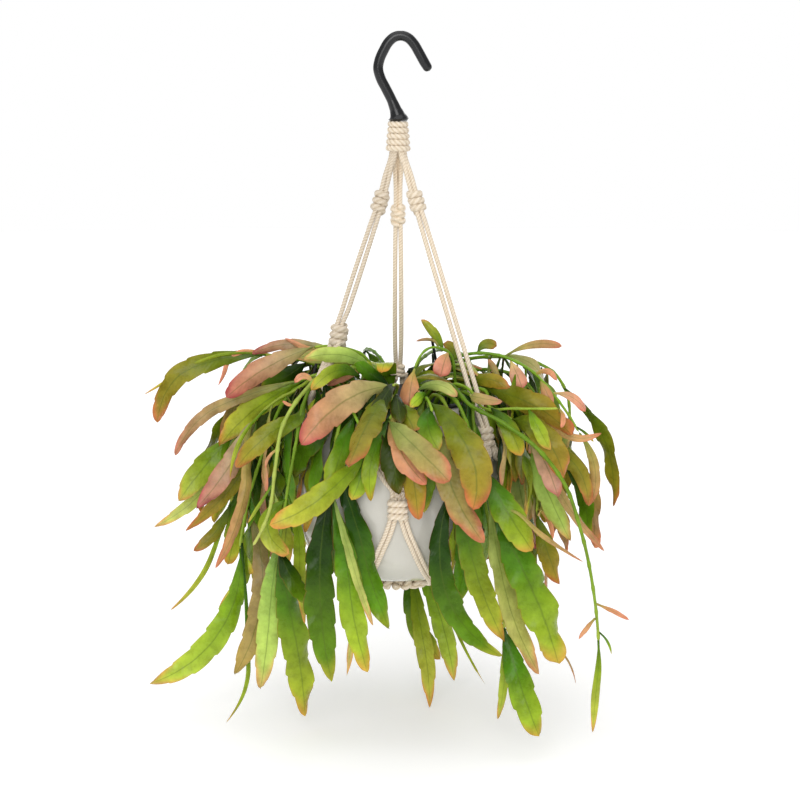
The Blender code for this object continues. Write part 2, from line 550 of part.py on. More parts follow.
def blade_faces(n):
    faces = []
    for k in range(n - 2):
        a, b, c = (k, k + 1, k + 2) if k % 2 == 0 else (k + 1, k, k + 2)
        faces += [(a, c, b), (a + n, b + n, c + n)]
    edge = list(range(0, n - 1, 2)) + [n - 1] + list(range(n - 2 if n % 2 else n - 3, 0, -2))
    for a, b in zip(edge, edge[1:] + edge[:1]):
        faces += [(b, a, a + n), (b, a + n, b + n)]
    return faces


def at_shares(line, shares):
    """The places and directions at these shares of the line's length."""
    at = np.array(shares) * (len(line) - 1)
    tangents = unit(np.gradient(line, axis=0))
    index = np.arange(len(line))
    place = np.stack([np.interp(at, index, line[:, k]) for k in range(3)], axis=1)
    tangent = np.stack([np.interp(at, index, tangents[:, k]) for k in range(3)], axis=1)
    return place, unit(tangent)


def facing_of(made):
    """The way that a leaf's broad face looks: where it would be pushed, and a little upwards."""
    push = np.array(made.pushes[len(made.pushes) // 2])
    return unit(push + np.array((0, 0, 0.12)))


class Room:
    """What stands where, so that the sprays are bent clear of each other and of the hanger and pot."""

    def __init__(self):
        self.held = []

    def add(self, owner, verts, faces):
        self.held.append((owner, verts.min(0), verts.max(0), BVHTree.FromPolygons(verts.tolist(), faces)))

    def blocked(self, owner, verts, faces, own=False):
        """The owner of the first thing that this body would cross: its own spray or, by default, all
        the others."""
        low, high = verts.min(0), verts.max(0)
        tree = None
        for other, other_low, other_high, other_tree in self.held:
            if (other == owner) != own or (low > other_high).any() or (high < other_low).any():
                continue
            tree = tree or BVHTree.FromPolygons(verts.tolist(), faces)
            if tree.overlap(other_tree):
                return other
        return None


def pot_radius(z):
    """The pot's outer radius at this height, and that of its lip above it."""
    radii, heights = zip(*POT_OUTSIDE)
    return float(np.interp(-z, [-h for h in heights], radii))


def leg_axis(made, z):
    """The place of a leg's middle at this height."""
    upper, lower = made.upper_knot, made.lower_knot
    radius = float(np.interp(-z, [71, 98, -upper[1], -lower[1]], [4.9, 4.9, upper[0], lower[0]]))
    return around(radius, made.bearing, z)


def reaches(made, net_bearing):
    """Whether a leg is one of the two that hold this net knot."""
    return abs((made.bearing - net_bearing + 180) % 360 - 180) < 100


def pair_line(made, net_bearing, count):
    """The middle of the two strands that run from under a leg's lower knot to a net knot."""
    radius, z, _, half_height = made.lower_knot
    end_z = NET_KNOT_Z + NET_KNOT_HALF_HEIGHT + 2 * FIT_GAP
    down = (leg_axis(made, z + 1) - leg_axis(made, z + 20)).normalized()
    offset = (made.bearing - net_bearing + 180) % 360 - 180
    side = 1 if offset > 0 else -1
    beside = math.degrees(PAIR_HALF_WIDTH + 3 * FIT_GAP)
    bottom = leg_axis(made, z + 1) + down * (half_height + 1 + 4.5 * FIT_GAP)
    points = [Matrix.Rotation(-math.radians(side * beside / radius), 3, "Z") @ bottom]
    points.append(points[0] + down * 5)
    straight = min(points[1].z, made.split_z)
    if points[1].z - straight > 8:
        points.append(around(80, made.bearing - side * beside / 80, straight))
    for share in np.linspace(0.0, 1.0, 7)[1:]:
        z = straight + (end_z - straight) * share
        turn = math.degrees(math.asin(math.sin(math.radians(abs(offset))) * (1 - share) ** 1.3))
        points.append(beside_pot(net_bearing + side * (turn * 0.97 + 1.95 * share), z, STRAND_RADIUS + 0.7))
    points.insert(-1, points[-1] + Vector((0, 0, 7)))
    return smooth(points, count)


def beside_pot(bearing, z, clear):
    """The place that lies this far out from the pot's outer wall at this height."""
    slope = 0.5 * (pot_radius(z + 1) - pot_radius(z - 1))
    out = Vector((1, -slope)).normalized() * clear
    return around(max(pot_radius(z), 77 if z > FLANGE_Z else 0) + out.x, bearing, z + out.y)


def lower_line(net_bearing, side, count):
    """The middle of the two strands that run from a net knot down under the pot to the base ring."""
    points = []
    clear = STRAND_RADIUS + 0.8
    for z, turn in ((-410, 2.4), (-425, 5), (-440, 9), (-455, 14), (-465, 19), (-474, 27)):
        points.append(beside_pot(net_bearing + side * turn, z, clear))
    points.append(around(47, net_bearing + side * 38, POT_FOOT_Z - clear - 1))
    points.append(around(RING_RADIUS + RING_CORD_RADIUS + 2.8, net_bearing + side * 46, RING_Z))
    return smooth(points, count)


def arms():
    """The two thin arms that stand on the grow pot's flange: name, places."""
    foot_z = FLANGE_Z + FLANGE_THICKNESS + FIT_GAP
    return {
        "arm_left": [around(73, -90, foot_z), around(73.2, -90, foot_z + 3), around(76.5, -90, foot_z + 11),
                     around(76, -90, -297), around(70, -90, -280)],
        "arm_right": [around(73, 150, foot_z), around(73.2, 150, foot_z + 3), around(75.5, 150, foot_z + 10),
                      around(70.5, 150, -294), around(62.5, 150, -272)],
    }


def pot_shell(sides):
    """The pot's and grow pot's walls above the soil, for stems and leaves to keep clear of."""
    top = FLANGE_Z + FLANGE_THICKNESS + 0.2
    rings = [(grow_inner_radius(SOIL_TOP_Z), SOIL_TOP_Z), (grow_inner_radius(top), top), (FLANGE_RADIUS + 0.3, top)]
    rings += [(pot_radius(z) + 1.0, z) for z in (-334, -350, -370, -402, -442, -468, -479)] + [(20, -481)]
    turns = 2 * math.pi * np.arange(sides) / sides
    verts = np.vstack([np.stack([r * np.cos(turns), r * np.sin(turns), 0 * turns + z], 1) for r, z in rings])
    faces = []
    for ring in range(len(rings) - 1):
        for i in range(sides):
            a, b = ring * sides + i, ring * sides + (i + 1) % sides
            faces += [(a, b, b + sides), (a, b + sides, a + sides)]
    return verts, faces


def fill_room():
    """Plain bodies in the places of the pot and the hanger, for the sprays to keep clear of."""
    room = Room()
    room.add("pot", *pot_shell(24))
    for name, made in LEGS.items():
        heights = np.linspace(-72, made.lower_knot[1] - made.lower_knot[3], 9)
        room.add(name, *tube([leg_axis(made, z) for z in heights], [7.0] * 9, 8))
        for _, z, half_width, half_height in (made.upper_knot, made.lower_knot):
            ends = [leg_axis(made, z + half_height), leg_axis(made, z - half_height)]
            room.add(name, *tube(ends, [half_width + 1] * 2, 8))
        for net_bearing in NET_BEARINGS.values():
            if reaches(made, net_bearing):
                room.add(name, *tube(pair_line(made, net_bearing, 9), [5.2] * 9, 6))
    for net_bearing in NET_BEARINGS.values():
        knot = [around(NET_KNOT_RADIUS, net_bearing, NET_KNOT_Z + dz) for dz in (-9, 9)]
        room.add("net", *tube(knot, [10.5, 10.5], 8))
        for side in (-1, 1):
            room.add("net", *tube(lower_line(net_bearing, side, 8), [5.0] * 8, 6))
    ring = [around(RING_RADIUS, 30 * i, RING_Z) for i in range(13)]
    room.add("ring", *tube(ring, [RING_CORD_RADIUS + 1] * 13, 6))
    for name, places in arms().items():
        room.add(name, *tube(places, [2.2] * len(places), 5))
    return room


def stem_line(made, push, lift):
    """The middle of a spray's stem, from the foot of its hole in the soil to its end. It may be pushed
    along and lifted where it crosses the rim."""
    base = TIER_RADIUS[made.tier]
    places = [
        around(base, made.bearing, SOIL_TOP_Z - HOLE_DEPTH + FIT_GAP),
        around(base, made.bearing, SOIL_TOP_Z - 0.3 * HOLE_DEPTH),
        around(base, made.bearing, SOIL_TOP_Z + 6),
    ]
    if made.over_rim:
        gate_z = TIER_GATE_Z[made.tier] + lift
        places.append(around(RISE_RADIUS[made.tier], made.bearing, gate_z - 12))
        places.append(around(GATE_RADIUS - 14, made.bearing, gate_z))
        places.append(around(GATE_RADIUS, made.bearing, gate_z))
    last = len(made.stem)
    for i, place in enumerate(made.stem):
        raised = Vector((0, 0, lift * max(0.0, 1 - 0.5 * i)))
        places.append(place + made.pushes[i] * push * (i + 1) / last + raised)
    fine = smooth(places[1:], 90)
    count = int(min(11, max(6 + made.over_rim, round(length_of(fine) / STEM_PITCH))))
    above = fine[np.linalg.norm(fine - fine[0], axis=1) > (places[2] - places[1]).length + 3]
    return np.vstack([[places[0]], closer_at_bends(np.vstack([[places[2]], above]), count)])


def closer_at_bends(fine, count):
    """A stem's places, closer together where it bends over the rim than further on."""
    bends = np.linalg.norm(np.diff(unit(np.diff(fine, axis=0)), axis=0), axis=1)
    weight = np.concatenate([[0.0], 0.02 + np.concatenate([[0.0], bends]) * 0.35])
    at = np.cumsum(weight)
    return np.stack([np.interp(np.linspace(0, at[-1], count), at, fine[:, k]) for k in range(3)], axis=1)


def root_on(stem, made, taken):
    """The place along a stem's middle where a leaf springs, at least ROOT_PITCH from those taken."""
    fine = evenly(stem, 120)
    far = np.linalg.norm(fine - np.array(made.places[0]), axis=1)
    for other in taken:
        far += 1000 * (np.linalg.norm(fine - other, axis=1) < ROOT_PITCH)
    far[:20] += 1000
    return fine[np.argmin(far)]


def leaf_line(made, start, push):
    """The middle of a leaf, from inside its stem to its tip. Pushes grow from nothing at the root."""
    root = np.array(made.places[0])
    last = len(made.places) - 1
    places = [p + d * push * (i / last) for i, (p, d) in enumerate(zip(made.places, made.pushes, strict=True))]
    if np.linalg.norm(start - root) < 9:
        places = places[1:]
    return smooth([start, *places], 24)


SHIFTS = [0] + [sign * step for step in range(4, 61, 4) for sign in (1, -1)]
TURNS = (0.22, -0.22, 0.0, 0.5, -0.5)
STEM_SHIFTS = [(push, lift) for push in range(-30, 31, 3) for lift in (0, 4, 8, 12)]
STEM_SHIFTS.sort(key=lambda shift: abs(shift[0]) + 1.5 * shift[1])


def plan_plant():
    """Every spray's stem line, and each leaf's line and turn, bent clear of the other sprays."""
    room = fill_room()
    sprays = seen_sprays() + back_sprays()
    stems = {}
    for made in sprays:
        for push, lift in STEM_SHIFTS:
            line = stem_line(made, push, lift)
            grown = tube(line, [made.radius + CLEARANCE] * len(line), STEM_SIDES)
            blocked = room.blocked(made.name, *grown)
            if blocked is None:
                break
        else:
            print("stem of", made.name, "crosses", blocked)
        stems[made.name] = line
        room.add(made.name, *tube(line, [made.radius] * len(line), STEM_SIDES))
    own_room = Room()
    roots = {made.name: [] for made in sprays}
    leaves = {made.name: [] for made in sprays}
    order = [(made, part) for made in sprays for part in made.leaves]
    order.sort(key=lambda pair: pair[0].name.startswith("spray_back"))
    for made, part in order:
        start = root_on(stems[made.name], part, roots[made.name])
        roots[made.name].append(start)
        found = place_leaf(room, own_room, made, part, start)
        if found is None:
            print("no room for", made.name, part.name)
            continue
        leaves[made.name].append((part, *found))
        verts, faces = blade(part, *found)
        room.add(made.name, verts, faces)
        own_room.add(made.name, verts, past_root(faces, len(verts) // 2))
    return sprays, stems, leaves


def place_leaf(room, own_room, made, part, start):
    """The first line and turn that keep a leaf clear of the other sprays, and if it can be of the other
    leaves of its own spray past their roots. None if there is no room for it."""
    found = None
    for push in SHIFTS:
        line = leaf_line(part, start, push)
        for turn in TURNS if push % 8 == 0 else TURNS[:1]:
            verts, faces = blade(part, line, turn, CLEARANCE)
            if room.blocked(made.name, verts, faces):
                continue
            if not own_room.blocked(made.name, verts, past_root(faces, len(verts) // 2), own=True):
                return line, turn
            found = found or (line, turn)
        if found and abs(push) > 28:
            break
    return found


def past_root(faces, n):
    """The faces of a blade that lie past its root."""
    return [face for face in faces if min(i % n for i in face) > 1]


def material(name, colour, roughness, metallic=0.0):
    """A plain finish. The colour is three sRGB values from 0 to 255."""
    made = bpy.data.materials.new(name)
    made.use_nodes = True
    shader = made.node_tree.nodes["Principled BSDF"]
    linear = [(c / 255) ** 2.2 for c in colour]
    shader.inputs["Base Color"].default_value = (*linear, 1)
    shader.inputs["Roughness"].default_value = roughness
    shader.inputs["Metallic"].default_value = metallic
    made.diffuse_color = (*linear, 1)
    return made


def body(name, verts, faces, finish=None):
    """An object of this mesh, still in millimetres."""
    mesh = bpy.data.meshes.new(name)
    mesh.from_pydata([tuple(v) for v in verts], [], faces)
    made = bpy.data.objects.new(name, mesh)
    bpy.context.scene.collection.objects.link(made)
    if finish:
        mesh.materials.append(finish)
    return made


def turned(name, profile, segments, finish, closed=False):
    """A solid of revolution round the Z axis, from (radius, height) points in order."""
    bm = bmesh.new()
    verts = [bm.verts.new((radius, 0, z)) for radius, z in profile]
    edges = [bm.edges.new(pair) for pair in zip(verts, verts[1:])]
    if closed:
        edges.append(bm.edges.new((verts[-1], verts[0])))
    bmesh.ops.spin(bm, geom=verts + edges, cent=(0, 0, 0), axis=(0, 0, 1), angle=2 * math.pi,
                   steps=segments, use_merge=True)
    bmesh.ops.remove_doubles(bm, verts=bm.verts, dist=0.001)
    bmesh.ops.recalc_face_normals(bm, faces=bm.faces)
    made = body(name, [], [], finish)
    bm.to_mesh(made.data)
    bm.free()
    return made


def boolean(target, others, operation, solver="EXACT"):
    """Joins the others to the target, or cuts them from it, and removes them."""
    group = bpy.data.collections.new(target.name + "_parts")
    for other in others:
        group.objects.link(other)
    step = target.modifiers.new("boolean", "BOOLEAN")
    step.operation = operation
    step.operand_type = "COLLECTION"
    step.collection = group
    step.solver = solver
    bpy.context.view_layer.update()
    joined = bpy.data.meshes.new_from_object(target.evaluated_get(bpy.context.evaluated_depsgraph_get()))
    target.modifiers.remove(step)
    target.data = joined
    for other in list(group.objects):
        bpy.data.objects.remove(other)
    bpy.data.collections.remove(group)


def keep_largest(made):
    """Drops a mesh's loose scraps, and the walls of hollows that its joined leaves have sealed."""
    bm = bmesh.new()
    bm.from_mesh(made.data)
    left = set(bm.verts)
    islands = []
    while left:
        island = [left.pop()]
        for vert in island:
            near = {edge.other_vert(vert) for edge in vert.link_edges} & left
            left -= near
            island += near
        islands.append(island)
    islands.sort(key=len)
    for island in islands[:-1]:
        bmesh.ops.delete(bm, geom=island, context="VERTS")
    bm.to_mesh(made.data)
    bm.free()


def finish_body(made):
    """Splits a body's faces into triangles, brings it to metres and shades it smooth."""
    bm = bmesh.new()
    bm.from_mesh(made.data)
    bmesh.ops.triangulate(bm, faces=bm.faces)
    bmesh.ops.transform(bm, matrix=Matrix.Scale(TO_METRES, 4), verts=bm.verts)
    bm.to_mesh(made.data)
    bm.free()
    made.data.shade_smooth()
    made.data.set_sharp_from_angle(angle=math.radians(38))


def make_hook(finish):
    points = [Vector((x, 0, z)) for x, z in HOOK_LINE]
    plain = len(points) - len(HOOK_FOOT_RADII) - len(HOOK_TIP_RADII)
    radii = [*HOOK_FOOT_RADII, *[HOOK_ROD_RADIUS] * plain, *HOOK_TIP_RADII]
    hook = body("hook", *tube(points, radii, 10), finish)
    shank = [Vector((0, 0, z)) for z in (HOOK_FOOT_Z + 2, HOOK_SHANK_END_Z + 3, HOOK_SHANK_END_Z)]
    boolean(hook, [body("shank", *tube(shank, [HOOK_SHANK_RADIUS] * 2 + [HOOK_SHANK_RADIUS + 0.3], 10))], "UNION")


def make_top_wrap(finish):
    """Five turns of cord, bound round the strands: a ridged sleeve."""
    profile = [(WRAP_BORE_RADIUS, WRAP_TOP_Z)]
    for turn in range(WRAP_TURNS):
        widest = WRAP_TOP_RADIUS + (WRAP_BOTTOM_RADIUS - WRAP_TOP_RADIUS) * turn / (WRAP_TURNS - 1)
        top = WRAP_TOP_Z - turn * WRAP_TURN_HEIGHT
        profile += [(widest - 1.2, top), (widest, top - 0.5 * WRAP_TURN_HEIGHT)]
    bottom = WRAP_TOP_Z - WRAP_TURNS * WRAP_TURN_HEIGHT
    profile += [(widest - 1.2, bottom), (WRAP_BORE_RADIUS, bottom)]
    turned("top_wrap", profile, 12, finish, closed=True)


def strand(made, number):
    """One of a leg's four strands: from beside the hook's shank, through both knots."""
    upper, lower = made.upper_knot, made.lower_knot
    bound = around(BOUND_RING_RADIUS, made.bearing + 30 * number - 45, 0)
    turn = math.radians(made.bearing)
    tangential = Vector((math.cos(turn), math.sin(turn), 0))
    outward = around(1, made.bearing, 0)
    side = 1 if number > 1 else -1
    depth = 1 if number in (1, 2) else -1
    points, radii = [], []
    for z, radius in ((WRAP_TOP_Z - 0.5, SQUEEZED_RADIUS), (-98, SQUEEZED_RADIUS)):
        points.append(Vector((bound.x, bound.y, z)))
        radii.append(radius)
    half = 0.5 * STRAND_PITCH
    middle_z = 0.5 * (upper[1] + lower[1])
    for z, spread, radius in (
        (upper[1] + 24, 0.82, 0.84 * STRAND_RADIUS), (upper[1], 1, STRAND_RADIUS),
        (middle_z, 1.45, STRAND_RADIUS),
        (lower[1] + 22, 1.5, STRAND_RADIUS), (lower[1] + 6, 1, STRAND_RADIUS),
    ):
        points.append(leg_axis(made, z) + tangential * side * half * spread + outward * depth * half)
        radii.append(radius)
    return points, radii


def knot(made, place, sides=8):
    """A wrapped knot of three turns on a leg, as a ridged sleeve along the leg."""
    _, z, half_width, half_height = place
    top, bottom = leg_axis(made, z + half_height), leg_axis(made, z - half_height)
    return tube(*ridged(top, bottom, half_width), sides)


def ridged(top, bottom, half_width):
    """Places along three turns of cord, and their radii."""
    shares = (0, 0.16, 0.33, 0.5, 0.67, 0.84, 1)
    scales = (0.82, 1, 0.88, 1, 0.88, 1, 0.82)
    return [top.lerp(bottom, share) for share in shares], [half_width * scale for scale in scales]


def make_legs(finish):
    for name, made in LEGS.items():
        leg = body(f"leg_{name}", *knot(made, made.upper_knot), finish)
        others = [body("lower", *knot(made, made.lower_knot))]
        others += [body(f"strand_{i}", *tube(*strand(made, i), 4)) for i in range(4)]
        boolean(leg, others, "UNION")


def outward_from_pot(line):
    """The ways out from the pot's wall and under its foot, at these places."""
    return unit(np.stack([line[:, 0], line[:, 1], np.minimum(line[:, 2] + 400, 0)], axis=1))


def make_net(finish):
    """The pairs of strands on the pot, and the net knots with the pairs under them."""
    for leg_name, made in LEGS.items():
        for net_name, net_bearing in NET_BEARINGS.items():
            if not reaches(made, net_bearing):
                continue
            line = pair_line(made, net_bearing, 9)
            ends = [PAIR_END_HALF_WIDTH, PAIR_HALF_WIDTH, PAIR_HALF_WIDTH, PAIR_END_HALF_WIDTH]
            widths = np.interp(np.linspace(0, 1, 9), [0, 0.2, 0.8, 1], ends)
            verts, faces = tube(line, widths, 6, outward_from_pot(line), [STRAND_RADIUS] * 9)
            verts[-6:, 2] = line[-1][2]  # the end is cut level above the net knot
            body(f"pair_{leg_name}_to_{net_name}", verts, faces, finish)
    for net_name, net_bearing in NET_BEARINGS.items():
        top = around(NET_KNOT_RADIUS, net_bearing, NET_KNOT_Z + NET_KNOT_HALF_HEIGHT)
        bottom = around(NET_KNOT_RADIUS, net_bearing, NET_KNOT_Z - NET_KNOT_HALF_HEIGHT)
        points, widths = ridged(top, bottom, NET_KNOT_HALF_WIDTH)
        flat = [NET_KNOT_HALF_DEPTH * w / NET_KNOT_HALF_WIDTH for w in widths]
        outward = [np.array(around(1, net_bearing, 0))] * len(points)
        net_knot = body(f"net_knot_{net_name}", *tube(points, widths, 8, outward, flat), finish)
        lower = []
        for side in (-1, 1):
            line = lower_line(net_bearing, side, 8)
            shape = tube(line, [PAIR_HALF_WIDTH] * 8, 6, outward_from_pot(line), [STRAND_RADIUS] * 8)
            lower.append(body("lower", *shape))
        boolean(net_knot, lower, "UNION")


def make_base_ring(finish):
    profile = []
    for i in range(RING_SIDES):
        turn = 2 * math.pi * i / RING_SIDES
        profile.append((RING_RADIUS + RING_CORD_RADIUS * math.cos(turn), RING_Z + RING_CORD_RADIUS * math.sin(turn)))
    turned("base_ring", profile, 18, finish, closed=True)


def make_pot(finish):
    profile = [(0, POT_FOOT_Z), *reversed(POT_OUTSIDE), (POT_LIP_RADIUS, -322.5)]
    profile += [(pot_radius(z) - POT_WALL, z) for z in (-336, -366, -402, -440)]
    profile += [(70, -463), (52, POT_FLOOR_Z), (0, POT_FLOOR_Z)]
    turned("pot", profile, 22, finish)


def grow_inner_radius(z):
    share = (z - GROW_FOOT_Z) / (FLANGE_Z - GROW_FOOT_Z)
    return GROW_FOOT_RADIUS - GROW_WALL + (GROW_TOP_RADIUS - GROW_FOOT_RADIUS) * share


def make_grow_pot(finish):
    top = FLANGE_Z + FLANGE_THICKNESS
    floor = GROW_FOOT_Z + GROW_WALL
    profile = [(0, GROW_FOOT_Z), (GROW_FOOT_RADIUS, GROW_FOOT_Z), (GROW_TOP_RADIUS, FLANGE_Z)]
    profile += [(FLANGE_RADIUS, FLANGE_Z), (FLANGE_RADIUS, top), (grow_inner_radius(top), top)]
    profile += [(grow_inner_radius(floor), floor), (0, floor)]
    turned("grow_pot", profile, 20, finish)


def make_soil(finish, sprays):
    floor = GROW_FOOT_Z + GROW_WALL + FIT_GAP
    wall = [(grow_inner_radius(z) - 2 * FIT_GAP, z) for z in (floor, SOIL_TOP_Z - 2)]
    profile = [(0, floor), *wall, (wall[1][0] - 4, SOIL_TOP_Z + 0.5), (0, SOIL_TOP_Z + 1.5)]
    turned("soil", profile, 20, finish)
    holes = []
    for made in sprays:
        foot = around(TIER_RADIUS[made.tier], made.bearing, SOIL_TOP_Z - HOLE_DEPTH)
        top = Vector((foot.x, foot.y, SOIL_TOP_Z + 6))
        holes.append(body("hole", *tube([foot, top], [HOLE_RADIUS] * 2, 4)))
    boolean(bpy.data.objects["soil"], holes, "DIFFERENCE")


def make_arms(finish):
    for name, places in arms().items():
        body(name, *tube(places, [1.35] * len(places), 6), finish)


def make_plant(sprays, stems, leaves, finish):
    for made in sprays:
        taper = np.interp(np.linspace(0, 1, len(stems[made.name])), [0, 0.5, 1], [1, 1, 0.72]) * made.radius
        plant = body(made.name, *tube(stems[made.name], taper, STEM_SIDES), finish)
        blades = [body(part.name, *blade(part, line, turn)) for part, line, turn in leaves[made.name]]
        boolean(plant, blades, "UNION", "MANIFOLD")
        keep_largest(plant)


def main():
    for old in list(bpy.data.objects):
        bpy.data.objects.remove(old)
    cotton = material("cotton cord", (233, 223, 208), 0.9)
    black = material("black plastic", (52, 53, 55), 0.5)
    sprays, stems, leaves = plan_plant()
    make_hook(material("hook plastic", (52, 53, 55), 0.45))
    make_top_wrap(cotton)
    make_legs(cotton)
    make_net(cotton)
    make_base_ring(cotton)
    make_pot(material("glazed ceramic", (224, 221, 214), 0.15))
    make_grow_pot(black)
    make_soil(material("soil", (58, 44, 34), 0.95), sprays)
    make_arms(black)
    make_plant(sprays, stems, leaves, material("flat green stems", (107, 143, 42), 0.5))
    total = 0
    for made in bpy.data.objects:
        finish_body(made)
        total += len(made.data.polygons)
    print(len(bpy.data.objects), "objects,", total, "triangles")


main()
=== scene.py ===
# %% [markdown]
# # A potted red coral cactus in a knotted cord hanger
#
# The real object is a trailing cactus whose stems are flat, like leaves. It grows in a round glazed pot that
# hangs in a net of cotton cord from a black plastic hook. The solids of every part come from the packed
# frame. This script dresses them: it makes the fine cord, the glaze, the soil and each flat stem, in the
# places where the solids are.

import math
import random
from dataclasses import dataclass, field

import bmesh
import bpy
import numpy as np
from mathutils import Matrix, Vector, noise
from mathutils.bvhtree import BVHTree


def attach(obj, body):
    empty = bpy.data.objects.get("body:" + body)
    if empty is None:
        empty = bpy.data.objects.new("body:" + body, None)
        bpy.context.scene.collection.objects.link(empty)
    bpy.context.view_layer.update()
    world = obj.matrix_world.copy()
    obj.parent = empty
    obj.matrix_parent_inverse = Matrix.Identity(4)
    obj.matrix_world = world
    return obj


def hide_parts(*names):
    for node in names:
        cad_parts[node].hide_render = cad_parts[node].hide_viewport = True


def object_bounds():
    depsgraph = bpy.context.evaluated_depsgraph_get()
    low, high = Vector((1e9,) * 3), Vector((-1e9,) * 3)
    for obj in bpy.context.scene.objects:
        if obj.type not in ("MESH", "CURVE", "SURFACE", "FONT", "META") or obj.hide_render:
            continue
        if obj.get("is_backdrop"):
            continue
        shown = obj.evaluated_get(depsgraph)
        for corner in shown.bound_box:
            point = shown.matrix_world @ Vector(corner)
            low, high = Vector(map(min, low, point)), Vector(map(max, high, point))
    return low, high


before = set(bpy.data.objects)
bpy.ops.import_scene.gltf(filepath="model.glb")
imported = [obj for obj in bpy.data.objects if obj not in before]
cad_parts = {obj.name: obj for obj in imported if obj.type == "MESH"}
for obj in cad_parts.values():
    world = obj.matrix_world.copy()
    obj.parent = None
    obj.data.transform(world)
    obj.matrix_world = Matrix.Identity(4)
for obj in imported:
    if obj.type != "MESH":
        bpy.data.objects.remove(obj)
cad_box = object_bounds()
MM = 0.001
print(len(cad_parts), "nodes, height", round(cad_box[1].z - cad_box[0].z, 3), "m")

# %% [markdown]
# ## The camera
#
# The photograph was taken from 9 degrees above level with a long lens, so the pot looks round and the cords
# hardly converge. The camera stands 2 m from the middle of the object.

# %% The photograph's view
VIEW_ANGLE = math.radians(9)
VIEW_DISTANCE = 2000
VIEW_PIXELS = 800 * 100 / 36
VIEW_CENTRE = Vector((1.8, 0, -326.6))
VIEW_BACK = Vector((0, -math.cos(VIEW_ANGLE), math.sin(VIEW_ANGLE)))
VIEW_UP = Vector((0, math.sin(VIEW_ANGLE), math.cos(VIEW_ANGLE)))
VIEW_PLACE = VIEW_CENTRE + VIEW_BACK * VIEW_DISTANCE
LENS_MM = 98.8  # a little shorter than VIEW_PIXELS says, so that the hook and the lowest tips both fit
VIEW_SHIFT = 0.0056  # upwards, as a share of the frame
camera = bpy.data.objects.new("camera", bpy.data.cameras.new("camera"))
bpy.context.scene.collection.objects.link(camera)
bpy.context.scene.camera = camera
camera.data.lens = LENS_MM
camera.data.sensor_width = 36
camera.data.shift_y = VIEW_SHIFT
camera.location = VIEW_PLACE * MM
camera.rotation_euler = (-VIEW_BACK).to_track_quat("-Z", "Y").to_euler()
print("camera at", tuple(round(x, 3) for x in camera.location))

# %% [markdown]
# ## Floor and light
#
# A photograph like this is made on a white sweep in an even light. A white sky seen by the camera gives the
# background. A weaker one lights the object, so that the hollows between the leaves stay dark. A wide lamp
# overhead lays the soft shadow right under the plant, a smaller one in front gives the leaves and the hook
# their satin lights, and a faint one behind lights the far side.

# %% The floor
def linear(hex_colour):
    """An sRGB hex colour as linear red, green, blue and alpha."""
    parts = [int(hex_colour[i : i + 2], 16) / 255 for i in (1, 3, 5)]
    return (*[c / 12.92 if c <= 0.04045 else ((c + 0.055) / 1.055) ** 2.4 for c in parts], 1.0)


def add(material, kind, settings=(), links=()):
    """A shader node of this kind in a material, with its settings and its links (input, output socket)."""
    node = material.node_tree.nodes.new("ShaderNode" + kind)
    for name, value in dict(settings).items():
        if isinstance(name, str) and hasattr(node, name):
            setattr(node, name, value)
        else:
            node.inputs[name].default_value = value
    join(material, node, links)
    return node


def join(material, node, links):
    """Links output sockets to a node's inputs, which are named or numbered."""
    for name, output in dict(links).items():
        material.node_tree.links.new(output, node.inputs[name])


def new_material(name, **settings):
    """A material with its shader's settings. Returns both."""
    made = bpy.data.materials.new(name)
    made.use_nodes = True
    shader = made.node_tree.nodes["Principled BSDF"]
    for socket, value in settings.items():
        shader.inputs[socket.replace("_", " ")].default_value = value
    return made, shader


# Uncoated paper scatters light evenly, so it has no gloss. It glows a little, as a sweep lit from below does.
paper, shader = new_material("matt white paper", Base_Color=linear("#FAFAFA"), Roughness=0.95,
                             Emission_Color=(1, 1, 1, 1), Emission_Strength=0.2)
FLOOR_RADIUS_M = 6
bm = bmesh.new()
bmesh.ops.create_circle(bm, cap_ends=True, segments=96, radius=FLOOR_RADIUS_M)
floor = bpy.data.objects.new("floor", bpy.data.meshes.new("floor"))
bm.to_mesh(floor.data)
bm.free()
floor.data.materials.append(paper)
floor.data.transform(Matrix.Translation((0, 0, cad_box[0].z - 0.001)))
bpy.context.scene.collection.objects.link(floor)
floor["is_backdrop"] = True
print("floor at", round(cad_box[0].z, 4))

# %% The lights
SKY_LIGHT = 0.42  # what the sky gives the object, where 1 is a white page
SKY_SEEN = 1.0
world = bpy.data.worlds.new("white sky")
world.use_nodes = True
seen = add(world, "LightPath")
strength = add(world, "MapRange", {"To Min": SKY_LIGHT, "To Max": SKY_SEEN},
               {"Value": seen.outputs["Is Camera Ray"]})
sky = world.node_tree.nodes["Background"]
sky.inputs["Color"].default_value = (1, 1, 1, 1)
world.node_tree.links.new(strength.outputs["Result"], sky.inputs["Strength"])
bpy.context.scene.world = world
bpy.context.scene.view_settings.view_transform = "Standard"
LAMPS = {  # how strong, how wide in degrees, and which way it shines
    "overhead": (1.25, 75, (0.1, 0.16, -1)),
    "front": (1.5, 38, (0.12, 0.95, -0.36)),
    "rear": (0.8, 50, (-0.3, -0.9, -0.3)),
}
for name, (energy, wide, aim) in LAMPS.items():
    lamp = bpy.data.objects.new(name, bpy.data.lights.new(name, "SUN"))
    lamp.data.energy = energy
    lamp.data.angle = math.radians(wide)
    lamp.rotation_euler = Vector(aim).to_track_quat("-Z", "Y").to_euler()
    bpy.context.scene.collection.objects.link(lamp)
print("sky", SKY_LIGHT, "and", len(LAMPS), "lamps")

# %% [markdown]
# ## The sizes
#
# These are the object's own measures in millimetres, the same as those of its solids, so each fine piece lies
# where its solid is.

# %% Sizes of the hook, the cord, the pots and the net
FIT_GAP = 0.3  # between two pieces that touch

